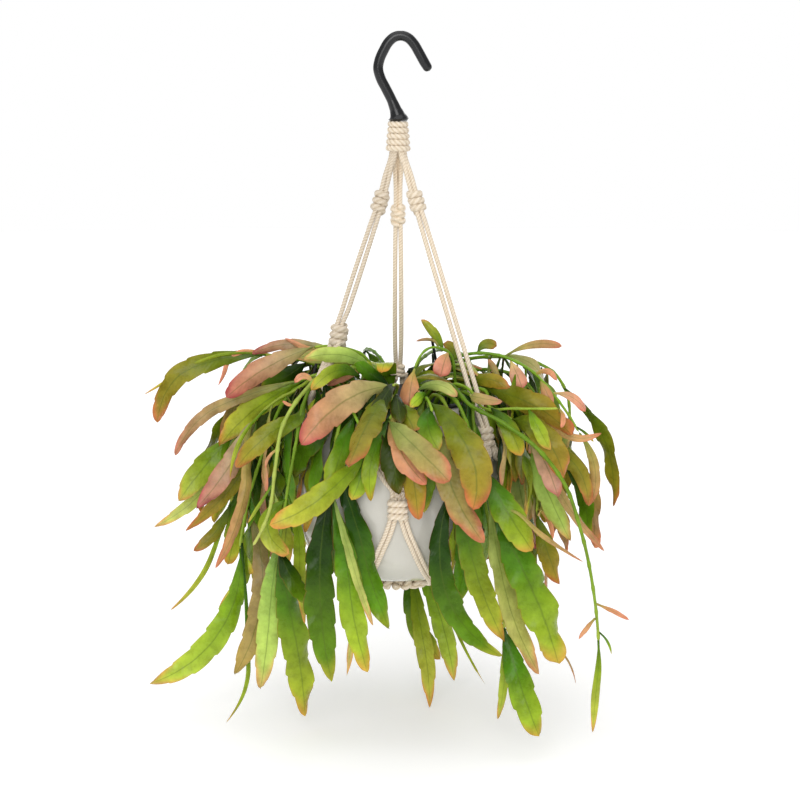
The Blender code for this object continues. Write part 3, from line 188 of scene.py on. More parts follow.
# Hook: the rod's centreline, x and z, from the foot up and over to the tip
HOOK_FOOT_Z = -70.2
HOOK_LINE = ((0.3, HOOK_FOOT_Z), (0.3, -68.4), (-0.3, -65.6), (-2.2, -60), (-5.5, -52), (-10.8, -41.5))
HOOK_LINE += ((-15.6, -32), (-17.6, -24), (-16.2, -16), (-12.6, -8), (-8, -0.5), (-3, 3.6), (3, 4.8))
HOOK_LINE += ((9, 2.8), (14, -2.2), (18.5, -9.6), (23.2, -18), (26.6, -23.6), (28.2, -26.2))
HOOK_ROD_RADIUS = 4.5
HOOK_FOOT_RADII = (8.8, 9.2, 6.8, 5.3)  # of the flared foot, from its underside up
HOOK_TIP_RADIUS = 4.2
HOOK_SHANK_RADIUS = 3.2
HOOK_SHANK_END_Z = -93

# Cotton cord
STRAND_RADIUS = 2.25
STRAND_PITCH = 2 * STRAND_RADIUS + FIT_GAP
WRAP_TOP_Z = HOOK_FOOT_Z - FIT_GAP
WRAP_TURNS = 5
WRAP_TURN_HEIGHT = 5.3
WRAP_TOP_RADIUS = 9
WRAP_BOTTOM_RADIUS = 11.3

# Ceramic pot: radius and height down its outside, from the lip to the foot
POT_OUTSIDE = ((72.5, -321), (75.5, -322.5), (80, -334), (85.5, -350), (90, -370), (92.6, -390))
POT_OUTSIDE += ((93, -402), (91.8, -422), (88.6, -442), (84, -455), (74, -468), (61, -476.5), (46, -480))
POT_WALL = 6
POT_FLOOR_Z = -473
POT_LIP_RADIUS = 69.5
POT_FOOT_Z = -480

# Grow pot, which hangs by its flange on the pot's lip
FLANGE_RADIUS = 75
FLANGE_Z = -321 + FIT_GAP
FLANGE_THICKNESS = 1.8
GROW_TOP_RADIUS = 66
GROW_FOOT_RADIUS = 50
GROW_WALL = 1.6
GROW_FOOT_Z = POT_FLOOR_Z + FIT_GAP
SOIL_TOP_Z = -350
HOLE_DEPTH = 24

# Net and base ring
NET_KNOT_RADIUS = 99.2
NET_KNOT_Z = -404
NET_KNOT_HALF_WIDTH = 9.7
NET_KNOT_HALF_DEPTH = 5.6
NET_KNOT_HALF_HEIGHT = 8.8
PAIR_HALF_WIDTH = 4.2  # of two strands that lie side by side on the pot
NET_BEARINGS = {"front": 0, "right_back": 120, "left_back": -120}
RING_CORD_RADIUS = 6
RING_RADIUS = 24
RING_SIDES = 6  # of the ring's section, which lies flat against the pot's foot
RING_Z = POT_FOOT_Z - FIT_GAP - RING_CORD_RADIUS * math.cos(math.pi / RING_SIDES)
print("pot", 2 * max(r for r, _ in POT_OUTSIDE), "mm across, cord", 2 * STRAND_RADIUS, "mm thick")

# %% Sizes of the plant
STEM_SIDES = 4
STEM_RADIUS = 1.9
BLADE_THICKNESS = 0.9
STALK_HALF_WIDTH = 0.6
NOTCH_PITCH = 31  # between two points of a blade's edge
CLEARANCE = 0.5  # kept between the stems and blades of different sprays
TIER_RADIUS = (55.5, 41, 24)  # where the stems of each tier stand in the soil
TIER_GATE_Z = (-308.5, -301, -290)  # how high the stems of each tier cross the rim
RISE_RADIUS = (57.3, 50, 38)  # where they are a little below that
GATE_RADIUS = 84
ROOT_PITCH = 4.5  # at least, between the roots of a spray's leaves
STEM_PITCH = 30  # between two places of a stem's bar, on average
print(len(TIER_RADIUS), "tiers of stems")


# %% The three legs of the hanger
@dataclass
class Leg:
    """One leg of the hanger. Its knots are (radius, height, half width, half height)."""

    bearing: float
    upper_knot: tuple
    lower_knot: tuple
    split_z: float


LEGS = {
    "left": Leg(-60, (18.0, -141.5, 7.3, 8.6), (62.8, -259.2, 8.3, 9.0), -300),
    "right": Leg(57, (19.6, -141.5, 7.4, 8.6), (94.8, -348.0, 7.6, 8.6), -360),
    "back": Leg(180, (25.0, -155.6, 6.9, 8.6), (77.8, -307.0, 6.8, 6.0), -316),
}
print(len(LEGS), "legs")

# %% [markdown]
# ## Curves
#
# Everything long in this object is a bar that follows a curve: cords, hook, stems and leaves. A curve is an
# array of places. `smooth` lays one through a few points without overshooting, because its slopes are
# weighted by the distance between the points.

# %% Curves through points
def around(radius, bearing, z):
    """A place at this radius and height. The bearing is 0 at the front and grows towards the right."""
    turn = math.radians(bearing)
    return Vector((radius * math.sin(turn), -radius * math.cos(turn), z))


def smooth(points, count):
    """Places evenly spaced along a smooth curve through the points, as an array."""
    fixed = np.array([tuple(p) for p in points], float)
    if len(fixed) == 2:
        return fixed[0] + (fixed[1] - fixed[0]) * np.linspace(0, 1, count)[:, None]
    knots = np.concatenate([[0], np.cumsum(np.linalg.norm(np.diff(fixed, axis=0), axis=1))])
    slopes = np.diff(fixed, axis=0) / np.diff(knots)[:, None]
    spans = np.diff(knots)[:, None]
    inner = (slopes[:-1] * spans[1:] + slopes[1:] * spans[:-1]) / (spans[:-1] + spans[1:])
    tangents = np.vstack([2 * slopes[0] - inner[0], inner, 2 * slopes[-1] - inner[-1]])
    fine = []
    for i in range(len(fixed) - 1):
        t = np.linspace(0, 1, 12, endpoint=False)[:, None]
        span = knots[i + 1] - knots[i]
        fine.append(
            (2 * t**3 - 3 * t**2 + 1) * fixed[i] + (t**3 - 2 * t**2 + t) * span * tangents[i]
            + (3 * t**2 - 2 * t**3) * fixed[i + 1] + (t**3 - t**2) * span * tangents[i + 1]
        )
    fine = np.vstack([*fine, fixed[-1:]])
    return evenly(fine, count)


def evenly(line, count):
    """The line's places again, evenly spaced."""
    along = np.concatenate([[0], np.cumsum(np.linalg.norm(np.diff(line, axis=0), axis=1))])
    at = np.linspace(0, along[-1], count)
    return np.stack([np.interp(at, along, line[:, k]) for k in range(3)], axis=1)


def length_of(line):
    return float(np.linalg.norm(np.diff(line, axis=0), axis=1).sum())


def unit(rows):
    return rows / np.maximum(np.linalg.norm(rows, axis=-1, keepdims=True), 1e-9)


def at_shares(line, shares):
    """The places and directions at these shares of the line's length."""
    at = np.array(shares) * (len(line) - 1)
    tangents = unit(np.gradient(line, axis=0))
    index = np.arange(len(line))
    place = np.stack([np.interp(at, index, line[:, k]) for k in range(3)], axis=1)
    tangent = np.stack([np.interp(at, index, tangents[:, k]) for k in range(3)], axis=1)
    return place, unit(tangent)


# %% Where the hanger's cords run
def pot_radius(z):
    """The pot's outer radius at this height, and that of its lip above it."""
    radii, heights = zip(*POT_OUTSIDE)
    return float(np.interp(-z, [-h for h in heights], radii))


def leg_axis(made, z):
    """The place of a leg's middle at this height."""
    upper, lower = made.upper_knot, made.lower_knot
    radius = float(np.interp(-z, [71, 98, -upper[1], -lower[1]], [4.9, 4.9, upper[0], lower[0]]))
    return around(radius, made.bearing, z)


def reaches(made, net_bearing):
    """Whether a leg is one of the two that hold this net knot."""
    return abs((made.bearing - net_bearing + 180) % 360 - 180) < 100


def beside_pot(bearing, z, clear):
    """The place that lies this far out from the pot's outer wall at this height."""
    slope = 0.5 * (pot_radius(z + 1) - pot_radius(z - 1))
    out = Vector((1, -slope)).normalized() * clear
    return around(max(pot_radius(z), 77 if z > FLANGE_Z else 0) + out.x, bearing, z + out.y)


def pair_line(made, net_bearing, count):
    """The middle of the two strands that run from under a leg's lower knot to a net knot."""
    radius, z, _, half_height = made.lower_knot
    end_z = NET_KNOT_Z + NET_KNOT_HALF_HEIGHT + 2 * FIT_GAP
    down = (leg_axis(made, z + 1) - leg_axis(made, z + 20)).normalized()
    offset = (made.bearing - net_bearing + 180) % 360 - 180
    side = 1 if offset > 0 else -1
    beside = math.degrees(PAIR_HALF_WIDTH + 3 * FIT_GAP)
    bottom = leg_axis(made, z + 1) + down * (half_height + 1 + 4.5 * FIT_GAP)
    points = [Matrix.Rotation(-math.radians(side * beside / radius), 3, "Z") @ bottom]
    points.append(points[0] + down * 5)
    straight = min(points[1].z, made.split_z)
    if points[1].z - straight > 8:
        points.append(around(80, made.bearing - side * beside / 80, straight))
    for share in np.linspace(0.0, 1.0, 7)[1:]:
        z = straight + (end_z - straight) * share
        turn = math.degrees(math.asin(math.sin(math.radians(abs(offset))) * (1 - share) ** 1.3))
        points.append(beside_pot(net_bearing + side * (turn * 0.97 + 1.95 * share), z, STRAND_RADIUS + 0.7))
    points.insert(-1, points[-1] + Vector((0, 0, 7)))
    return smooth(points, count)


def lower_line(net_bearing, side, count):
    """The middle of the two strands that run from a net knot down under the pot to the base ring."""
    points = []
    clear = STRAND_RADIUS + 0.8
    for z, turn in ((-410, 2.4), (-425, 5), (-440, 9), (-455, 14), (-465, 19), (-474, 27)):
        points.append(beside_pot(net_bearing + side * turn, z, clear))
    points.append(around(47, net_bearing + side * 38, POT_FOOT_Z - clear - 1))
    points.append(around(RING_RADIUS + RING_CORD_RADIUS + 2.8, net_bearing + side * 46, RING_Z))
    return smooth(points, count)


def arms():
    """The two thin arms that stand on the grow pot's flange: name, places."""
    foot_z = FLANGE_Z + FLANGE_THICKNESS + FIT_GAP
    return {
        "arm_left": [around(73, -90, foot_z), around(73.2, -90, foot_z + 3), around(76.5, -90, foot_z + 11),
                     around(76, -90, -297), around(70, -90, -280)],
        "arm_right": [around(73, 150, foot_z), around(73.2, 150, foot_z + 3), around(75.5, 150, foot_z + 10),
                      around(70.5, 150, -294), around(62.5, 150, -272)],
    }


def grow_inner_radius(z):
    share = (z - GROW_FOOT_Z) / (FLANGE_Z - GROW_FOOT_Z)
    return GROW_FOOT_RADIUS - GROW_WALL + (GROW_TOP_RADIUS - GROW_FOOT_RADIUS) * share


front_pairs = [pair_line(made, 0, 40) for made in LEGS.values() if reaches(made, 0)]
print("front pairs of", [round(length_of(line)) for line in front_pairs], "mm")

# %% [markdown]
# ## Bars from a grid
#
# A flat grid from `bmesh.ops.create_grid` becomes a bar when its columns are wrapped round a line. Its rows
# follow the line. The same tool makes a twisted cord, a hook and a flat stem: only the section differs. The
# ends shrink to a point and close when the doubles are merged.

# %% Wrapping a grid round a line
def start_mesh():
    """A bmesh with a colour for each corner and a map of its surface."""
    bm = bmesh.new()
    bm.verts.layers.float_color.new("Tint")
    bm.loops.layers.uv.new("Skin")
    return bm


def sweep(bm, centre, side, up, sides, section, tint, skin):
    """Wraps a grid round a line. section gives the offsets along side and up, in mm, tint a colour and skin
    a place on the map, all three for each corner's turn and row."""
    rows = len(centre) - 1
    verts = bmesh.ops.create_grid(bm, x_segments=sides, y_segments=rows, size=0.5)["verts"]
    flat = np.array([v.co[:2] for v in verts]) + 0.5
    turn, row = 2 * np.pi * flat[:, 0], np.rint(flat[:, 1] * rows).astype(int)
    a, b = section(turn, row)
    places = (centre[row] + side[row] * a[:, None] + up[row] * b[:, None]) * MM
    colours, maps = tint(turn, row), skin(turn, row)
    tints, layer = bm.verts.layers.float_color["Tint"], bm.loops.layers.uv["Skin"]
    for vert, place, colour, spot in zip(verts, places.tolist(), colours.tolist(), maps.tolist()):
        vert.co = place
        vert[tints] = (*colour, 1)
        for loop in vert.link_loops:
            loop[layer].uv = spot


def frames(line):
    """Two directions across a line at each place, which turn with it and don't twist."""
    tangents = unit(np.gradient(line, axis=0))
    side = np.cross(tangents[0], (0, 0, 1) if abs(tangents[0][2]) < 0.9 else (1, 0, 0))
    sides = []
    for tangent in tangents:
        side = unit(side - tangent * side.dot(tangent))
        sides.append(side)
    sides = np.array(sides)
    return sides, np.cross(tangents, sides)


def plain_map(turn, row):
    return np.stack([turn / (2 * np.pi), row * MM], axis=1)


def round_bar(bm, line, radii, sides, tints=None, skin=plain_map):
    """A bar of round section along a line. radii and tints hold a value for each place, and without tints
    the bar is black."""
    tints = np.full((len(line), 3), 0.03) if tints is None else tints
    sweep(bm, line, *frames(line), sides,
          lambda turn, row: (radii[row] * np.cos(turn), radii[row] * np.sin(turn)),
          lambda turn, row: tints[row], skin)


def finish_piece(bm, name, material, sharp=60, node=None):
    """Closes a bmesh's seams and poles, and makes it a piece that stands for a CAD node."""
    bmesh.ops.remove_doubles(bm, verts=bm.verts, dist=2e-6)
    bmesh.ops.dissolve_degenerate(bm, edges=bm.edges, dist=1e-7)
    bmesh.ops.recalc_face_normals(bm, faces=bm.faces)
    low, high = (np.array(corner) for corner in cad_box)
    for vert in bm.verts:
        if any(not l <= c <= h for l, c, h in zip(low, vert.co, high)):
            vert.co = np.clip(vert.co, low, high)
    made = bpy.data.objects.new(name, bpy.data.meshes.new(name))
    bm.to_mesh(made.data)
    bm.free()
    made.data.shade_smooth()
    made.data.set_sharp_from_angle(angle=math.radians(sharp))
    made.data.materials.append(material)
    bpy.context.scene.collection.objects.link(made)
    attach(made, "root")
    if node:
        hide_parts(*([node] if isinstance(node, str) else node))
    print(name, len(made.data.polygons), "faces")
    return made


# %% [markdown]
# ## Cotton cord
#
# The cord is cotton yarn, spun and then laid in three plies. Light catches the round back of each ply and the
# grooves between them stay dark, so the twist is real geometry, and the grooves are painted darker too, as
# painted shade. Loose fibre makes the surface matt with a soft sheen.

# %% Cotton
# Spun and laid yarn: it scatters light evenly, and its loose fibres give a faint bright rim. A yarn's noise
# flecks it and roughens it.
cotton, shader = new_material("laid cotton cord", Roughness=0.92, Sheen_Weight=0.25, Sheen_Roughness=0.5)
shader.inputs["Sheen Tint"].default_value = linear("#FFF6E8")
tint = add(cotton, "Attribute", {"attribute_name": "Tint"})
place = add(cotton, "TexCoord")
YARN_MM = 0.9  # a yarn is about this thick
yarn = add(cotton, "TexNoise", {"Scale": 1 / (YARN_MM * MM), "Detail": 3.0, "Roughness": 0.6},
           {"Vector": place.outputs["Object"]})
fleck = add(cotton, "MapRange", {"From Min": 0.3, "From Max": 0.7, "To Min": 0.86, "To Max": 1.06},
            {"Value": yarn.outputs["Fac"]})
shade = add(cotton, "VectorMath", {"operation": "SCALE"},
            {"Vector": tint.outputs["Color"], "Scale": fleck.outputs["Result"]})
fuzz = add(cotton, "Bump", {"Strength": 0.5, "Distance": 0.0004}, {"Height": yarn.outputs["Fac"]})
join(cotton, shader, {"Base Color": shade.outputs["Vector"], "Normal": fuzz.outputs["Normal"]})
print(cotton.name)

# %% One cord
PLIES = 3
LAY = 4.2  # one full turn of the plies, in cord radii: longer than a real cord's, so that it shows
CORD_STEP_MM = 0.8
# The crowns of the plies have the cord's own colour; the grooves are painted darker, as painted shade.
CROWN_TINT = np.array(linear("#EADCC8")[:3])
GROOVE_PAINTED_SHADE = np.array(linear("#C8B494")[:3])


def cord(bm, line, radius, hand=1, pale=1.0):
    """A laid cord along a line. radius is one number, or one for each place of the line. hand is the way it
    is laid, and pale scales its colours, as painted light on a leg that the lamps leave in shade and as
    painted shade on one that they light too brightly."""
    rows = max(4, int(length_of(line) / CORD_STEP_MM))
    fine = evenly(line, rows + 1)
    given = np.broadcast_to(radius, len(line))
    radii = np.interp(np.linspace(0, 1, rows + 1), np.linspace(0, 1, len(line)), given)
    radii[[0, -1]] = 0
    side, up = frames(fine)
    twist = hand * 2 * np.pi * np.linspace(0, length_of(fine), rows + 1) / (LAY * radii.max())

    def back(turn, row):
        return np.abs(np.cos(0.5 * PLIES * (turn - twist[row])))

    def section(turn, row):
        out = radii[row] * (0.8 + 0.26 * back(turn, row) ** 0.75)
        return out * np.cos(turn), out * np.sin(turn)

    def tint(turn, row):
        # painted shade in the grooves; pale paints the whole leg lighter or darker
        share = (back(turn, row) ** 0.8)[:, None]
        return (GROOVE_PAINTED_SHADE * (1 - share) + CROWN_TINT * share) * pale

    def skin(turn, row):
        return np.stack([turn / (2 * np.pi), row * CORD_STEP_MM * MM], axis=1)

    sweep(bm, fine, side, up, 6 * PLIES, section, tint, skin)


def coil(top, bottom, turns, radii, depth=1.0, facing=0.0):
    """A line that winds from top to bottom, with its radius at both. Each turn lies nearly level and steps
    down at the back, where the ends are tucked in too. depth is its thickness over its width."""
    top, bottom = np.array(top), np.array(bottom)
    axis = unit(top - bottom)
    out = np.array(around(1, facing, 0))
    out = unit(out - axis * out.dot(axis))
    beside = np.cross(axis, out)
    share = np.linspace(0, 1, int(turns * 36) + 1)
    whole, part = np.divmod(share * turns, 1.0)
    steps = [np.clip(part / 0.2, 0, 1), np.clip((part - 0.8) / 0.2, 0, 1)]
    level = (whole + sum(0.5 * t * t * (3 - 2 * t) for t in steps)) / turns
    level = 0.85 * level + 0.15 * share
    level[-1] = 1
    turn = 2 * np.pi * share * turns + np.pi
    tucked = np.clip(np.minimum(share, 1 - share) * turns * 7, 0, 1) ** 0.5
    wide = radii[0] + (radii[1] - radii[0]) * share - 1.2 * (1 - tucked)
    across, deep = (wide * np.sin(turn))[:, None], (depth * wide * np.cos(turn))[:, None]
    return top + (bottom - top) * level[:, None] + beside * across + out * deep


print("a cord of", PLIES, "plies, one turn in", round(LAY * STRAND_RADIUS, 1), "mm")

# %% [markdown]
# ## The top wrap and the legs
#
# All strands are bound to the hook's shank by five turns of cord, which widen a little downwards. Each leg
# has four strands, two in front and two behind, held by a wrapped knot of three turns at its top and bottom.

# %% The top wrap
bm = start_mesh()
WRAP_BOTTOM_Z = WRAP_TOP_Z - WRAP_TURNS * WRAP_TURN_HEIGHT
half_turn = 0.5 * WRAP_TURN_HEIGHT
widths = (WRAP_TOP_RADIUS - half_turn, WRAP_BOTTOM_RADIUS - half_turn)
cord(bm, coil((0, 0, WRAP_TOP_Z), (0, 0, WRAP_BOTTOM_Z), WRAP_TURNS, widths), 1.03 * half_turn)
finish_piece(bm, "top_wrap_cord", cotton, node="top_wrap")

# %% The strands of a leg
SEEN_STRAND_RADIUS = 2.05


def strand_line(made, number):
    """One of a leg's four strands, from the top wrap through both knots. The two pairs of each leg lie behind
    each other in the photograph's view, with a slit between the strands."""
    upper, lower = made.upper_knot, made.lower_knot
    bound = around(5.6, made.bearing + 24 * number - 36, 0)
    tangential = Vector((-1 if made.bearing > 90 else 1, 0, 0))
    outward = Vector((0, 1 if made.bearing > 90 else -1, 0))
    side = 1 if number > 1 else -1
    depth = 1 if number in (1, 2) else -1
    points = [Vector((bound.x, bound.y, z)) for z in (-88, -97)]  # inside the top wrap
    half = 0.5 * STRAND_PITCH
    middle_z = 0.5 * (upper[1] + lower[1])
    for z, spread in ((upper[1] + 22, 0.8), (upper[1], 0.8), (upper[1] - 20, 1.0), (middle_z, 1.22),
                      (lower[1] + 24, 1.15), (lower[1], 0.8), (lower[1] - 0.8 * lower[3], 0.8)):
        points.append(leg_axis(made, z) + tangential * side * half * spread + outward * depth * half)
    return smooth(points, 60)


def wrapped_knot(bm, top, bottom, half_width, half_depth, facing, turns=3, pale=1.0):
    """A knot of fat turns round its strands: each turn is as thick as its share of the knot's height."""
    thick = 0.5 * (top - bottom).length / turns
    wide = half_width - thick
    line = coil(top, bottom, turns, (wide, wide), (half_depth - thick) / wide, facing)
    cord(bm, line, 1.03 * thick, hand=-1, pale=pale)


# Painted light and shade: the back leg, which the lamps leave in shade, is painted lighter, and the left one,
# which they light too brightly, is painted darker.
LEG_PAINTED_LIGHT_AND_SHADE = {"left": 0.86, "right": 1.0, "back": 1.2}  # in the photograph the three are equally light
for name, made in LEGS.items():
    bm = start_mesh()
    pale = LEG_PAINTED_LIGHT_AND_SHADE[name]
    for number in range(4):
        cord(bm, strand_line(made, number), SEEN_STRAND_RADIUS, pale=pale)
    for _, z, half_width, half_height in (made.upper_knot, made.lower_knot):
        ends = leg_axis(made, z + half_height), leg_axis(made, z - half_height)
        wrapped_knot(bm, *ends, half_width, half_width, made.bearing, pale=pale)
    finish_piece(bm, f"leg_{name}_cords", cotton, node=f"leg_{name}")

# %% [markdown]
# ## The net and the base ring
#
# Under each lower knot the four strands part into two pairs, which lie on the pot and meet the pairs of the
# next leg in a flat knot. Two pairs leave each net knot downwards and end in a ring under the pot. The ring
# is made as one cord that winds round and round a circle, because a row of hitches looks like that.

# %% Pairs of strands on the pot
def outward_from_pot(line):
    """The ways out from the pot's wall and under its foot, at these places."""
    return unit(np.stack([line[:, 0], line[:, 1], np.minimum(line[:, 2] + 400, 0)], axis=1))


def pair(bm, line, apart):
    """Two strands that lie side by side along a line. apart is half the distance between them."""
    beside = unit(np.cross(unit(np.gradient(line, axis=0)), outward_from_pot(line)))
    for sign in (-1, 1):
        cord(bm, line + sign * beside * np.array(apart)[:, None], SEEN_STRAND_RADIUS)


def longer(line, start, end):
    """The line, drawn out at its start and its end by this many mm."""
    first, last = unit(line[0] - line[1]), unit(line[-1] - line[-2])
    return np.vstack([line[0] + first * start, line, line[-1] + last * end])


for leg_name, made in LEGS.items():
    for net_name, net_bearing in NET_BEARINGS.items():
        if reaches(made, net_bearing):
            bm = start_mesh()
            line = longer(pair_line(made, net_bearing, 40), 6, 5)
            apart = np.interp(np.linspace(0, 1, len(line)), [0, 0.2, 0.8, 1], [1.8, 2.15, 2.15, 1.8])
            pair(bm, line, apart)
            name = f"pair_{leg_name}_to_{net_name}"
            finish_piece(bm, name + "_cords", cotton, node=name)

# %% Net knots
for net_name, net_bearing in NET_BEARINGS.items():
    bm = start_mesh()
    top = around(NET_KNOT_RADIUS, net_bearing, NET_KNOT_Z + NET_KNOT_HALF_HEIGHT)
    bottom = around(NET_KNOT_RADIUS, net_bearing, NET_KNOT_Z - NET_KNOT_HALF_HEIGHT)
    wrapped_knot(bm, top, bottom, NET_KNOT_HALF_WIDTH, NET_KNOT_HALF_DEPTH, net_bearing)
    for side in (-1, 1):
        line = longer(lower_line(net_bearing, side, 40), 0, 2)
        pair(bm, line, np.full(len(line), 2.1))
    finish_piece(bm, f"net_knot_{net_name}_cords", cotton, node=f"net_knot_{net_name}")

# %% The base ring
RING_TURNS = 19
HITCH_RADIUS = 3.3
HITCH_OUT, HITCH_UP = 4, 3.4  # how far a hitch's middle goes out and in, and up and down
turn = np.linspace(0, 2 * np.pi, RING_TURNS * 18 + 1)
wind = RING_TURNS * turn
out = RING_RADIUS + 0.8 + HITCH_OUT * np.cos(wind)
line = np.stack([out * np.sin(turn), -out * np.cos(turn), RING_Z - 1.8 + HITCH_UP * np.sin(wind)], axis=1)
bm = start_mesh()
cord(bm, line, HITCH_RADIUS)
finish_piece(bm, "base_ring_cord", cotton, node="base_ring")

# %% [markdown]
# ## Hook
#
# The hook is moulded in black plastic. It is a bar of round section that widens into a foot above the wrap,
# with a rounded tip. A fine mould grain keeps the highlight soft.

# %% Moulded plastic
def plastic(name, colour, roughness, grain_mm=0.5):
    """Moulded plastic with a fine grain, and a gloss that changes a little over the surface."""
    made, shader = new_material(name, Base_Color=linear(colour), IOR=1.46)
    place = add(made, "TexCoord")
    grain = add(made, "TexNoise", {"Scale": 1 / (grain_mm * MM), "Detail": 2.0},
                {"Vector": place.outputs["Object"]})
    patches = add(made, "TexNoise", {"Scale": 1 / (14 * MM), "Detail": 2.0},
                  {"Vector": place.outputs["Object"]})
    gloss = add(made, "MapRange", {"From Min": 0.3, "From Max": 0.7, "To Min": roughness - 0.07,
                                   "To Max": roughness + 0.07}, {"Value": patches.outputs["Fac"]})
    bump = add(made, "Bump", {"Strength": 0.15, "Distance": 0.0002},
               {"Height": grain.outputs["Fac"]})
    join(made, shader, {"Roughness": gloss.outputs["Result"], "Normal": bump.outputs["Normal"]})
    return made


# The hook's mould was polished, so the light draws long soft lines along the bar.
hook_plastic = plastic("moulded black ABS", "#161719", 0.27)
print(hook_plastic.name)

# %% The hook
points = [Vector((x, 0, z)) for x, z in HOOK_LINE]
plain = len(points) - len(HOOK_FOOT_RADII) - 2
hook_radii = [*HOOK_FOOT_RADII, *[HOOK_ROD_RADIUS] * plain, HOOK_TIP_RADIUS, HOOK_TIP_RADIUS]
HOOK_ROWS = 150
TIP_ROUNDING = 4
fine = smooth(points, HOOK_ROWS + 1)
fixed = np.array([tuple(p) for p in points])
along = np.concatenate([[0], np.cumsum(np.linalg.norm(np.diff(fixed, axis=0), axis=1))])
radii = np.interp(np.linspace(0, 1, HOOK_ROWS + 1), along / along[-1], hook_radii)
from_end = np.linspace(length_of(fine), 0, HOOK_ROWS + 1)
near_tip = from_end < TIP_ROUNDING
radii[near_tip] *= np.sqrt(1 - (1 - from_end[near_tip] / TIP_ROUNDING) ** 2)
radii[:2] = 0, HOOK_FOOT_RADII[0] - 1.0  # the foot is flat underneath
fine[1] = fine[0] + (0, 0, 0.05)
bm = start_mesh()
round_bar(bm, fine, radii, 32)
shank = np.linspace((0, 0, HOOK_FOOT_Z + 2), (0, 0, HOOK_SHANK_END_Z), 9)
round_bar(bm, shank, np.array([0, *[HOOK_SHANK_RADIUS] * 7, 0]), 16)
finish_piece(bm, "hook_bar", hook_plastic, sharp=50, node="hook")

# %% [markdown]
# ## The pot
#
# Glazed earthenware is thrown or cast round, so a profile turned round an axis makes it. The glaze is glossy
# and off-white. It pools a little, which shows as a faint change of tone and a very shallow ripple.

# %% Glazed earthenware
# A fired glaze is glass over clay. The clear coat gives its sharp lights, the pools a soft change of tone.
glaze, shader = new_material("glazed earthenware", Roughness=0.16, IOR=1.52, Coat_Weight=0.35,
                             Coat_Roughness=0.08)
place = add(glaze, "TexCoord")
pools = add(glaze, "TexNoise", {"Scale": 1 / (45 * MM), "Detail": 3.0},
            {"Vector": place.outputs["Object"]})
tone = add(glaze, "ValToRGB", (), {"Fac": pools.outputs["Fac"]})
tone.color_ramp.elements[0].position = 0.35
tone.color_ramp.elements[0].color = linear("#BDBAB0")
tone.color_ramp.elements[1].position = 0.65
tone.color_ramp.elements[1].color = linear("#CAC7BD")
ripple = add(glaze, "TexNoise", {"Scale": 1 / (9 * MM), "Detail": 1.0},
             {"Vector": place.outputs["Object"]})
bump = add(glaze, "Bump", {"Strength": 0.12, "Distance": 0.0005}, {"Height": ripple.outputs["Fac"]})
join(glaze, shader, {"Base Color": tone.outputs["Color"], "Normal": bump.outputs["Normal"]})
print(glaze.name)


# %% Turning a profile
def turned(profile, segments):
    """A closed solid of revolution from (radius, height) places in mm, in order from the axis to the axis."""
    bm = start_mesh()
    verts = [bm.verts.new((r * MM, 0, z * MM)) for r, z in profile]
    edges = [bm.edges.new(pair) for pair in zip(verts, verts[1:])]
    bmesh.ops.spin(bm, geom=verts + edges, cent=(0, 0, 0), axis=(0, 0, 1), angle=2 * math.pi, steps=segments,
                   use_merge=True)
    return bm


outside = smooth([(r, 0, z) for r, z in reversed(POT_OUTSIDE)], 60)
profile = [(0, POT_FOOT_Z + 1.2), (34, POT_FOOT_Z + 1.2), (36, POT_FOOT_Z + 0.2), (38, POT_FOOT_Z)]
profile += [(p[0], p[2]) for p in outside]
profile += [(POT_LIP_RADIUS + 1.2, -321.2), (POT_LIP_RADIUS, -322.5)]
profile += [(pot_radius(z) - POT_WALL, z) for z in (-330, -336, -350, -366, -384, -402, -422, -440, -452)]
profile += [(70, -463), (62, -469.5), (52, POT_FLOOR_Z), (0, POT_FLOOR_Z)]
finish_piece(turned(profile, 96), "glazed_pot", glaze, sharp=50, node="pot")

# %% [markdown]
# ## The grow pot, the soil and the thin arms
#
# The plant stands in a thin black nursery pot, which hangs by its rim in the glazed one. Its soil is peat
# with crumbs. Two thin arms of the nursery pot's own hanger stand up out of the leaves.

# %% The grow pot
# Thin nursery ware comes duller from its mould than the hook.
nursery_plastic = plastic("moulded black polypropylene", "#17181A", 0.48)
top, floor_z = FLANGE_Z + FLANGE_THICKNESS, GROW_FOOT_Z + GROW_WALL
profile = [(0, GROW_FOOT_Z), (GROW_FOOT_RADIUS - 1, GROW_FOOT_Z), (GROW_FOOT_RADIUS, GROW_FOOT_Z + 1)]
profile += [(GROW_TOP_RADIUS, FLANGE_Z), (FLANGE_RADIUS - 0.3, FLANGE_Z), (FLANGE_RADIUS, FLANGE_Z + 0.5)]
profile += [(FLANGE_RADIUS, top - 0.5), (FLANGE_RADIUS - 0.5, top), (grow_inner_radius(top) + 0.5, top)]
profile += [(grow_inner_radius(top), top - 0.5), (grow_inner_radius(floor_z), floor_z), (0, floor_z)]
finish_piece(turned(profile, 72), "nursery_pot", nursery_plastic, sharp=40, node="grow_pot")

# %% The arms
ARM_RADIUS = 1.35
for name, places in arms().items():
    thin = np.array([0, 1.0, *[ARM_RADIUS] * 36, 1.0, 0])
    bm = start_mesh()
    round_bar(bm, smooth(places, len(thin)), thin, 12)
    finish_piece(bm, name + "_rod", nursery_plastic, sharp=50, node=name)

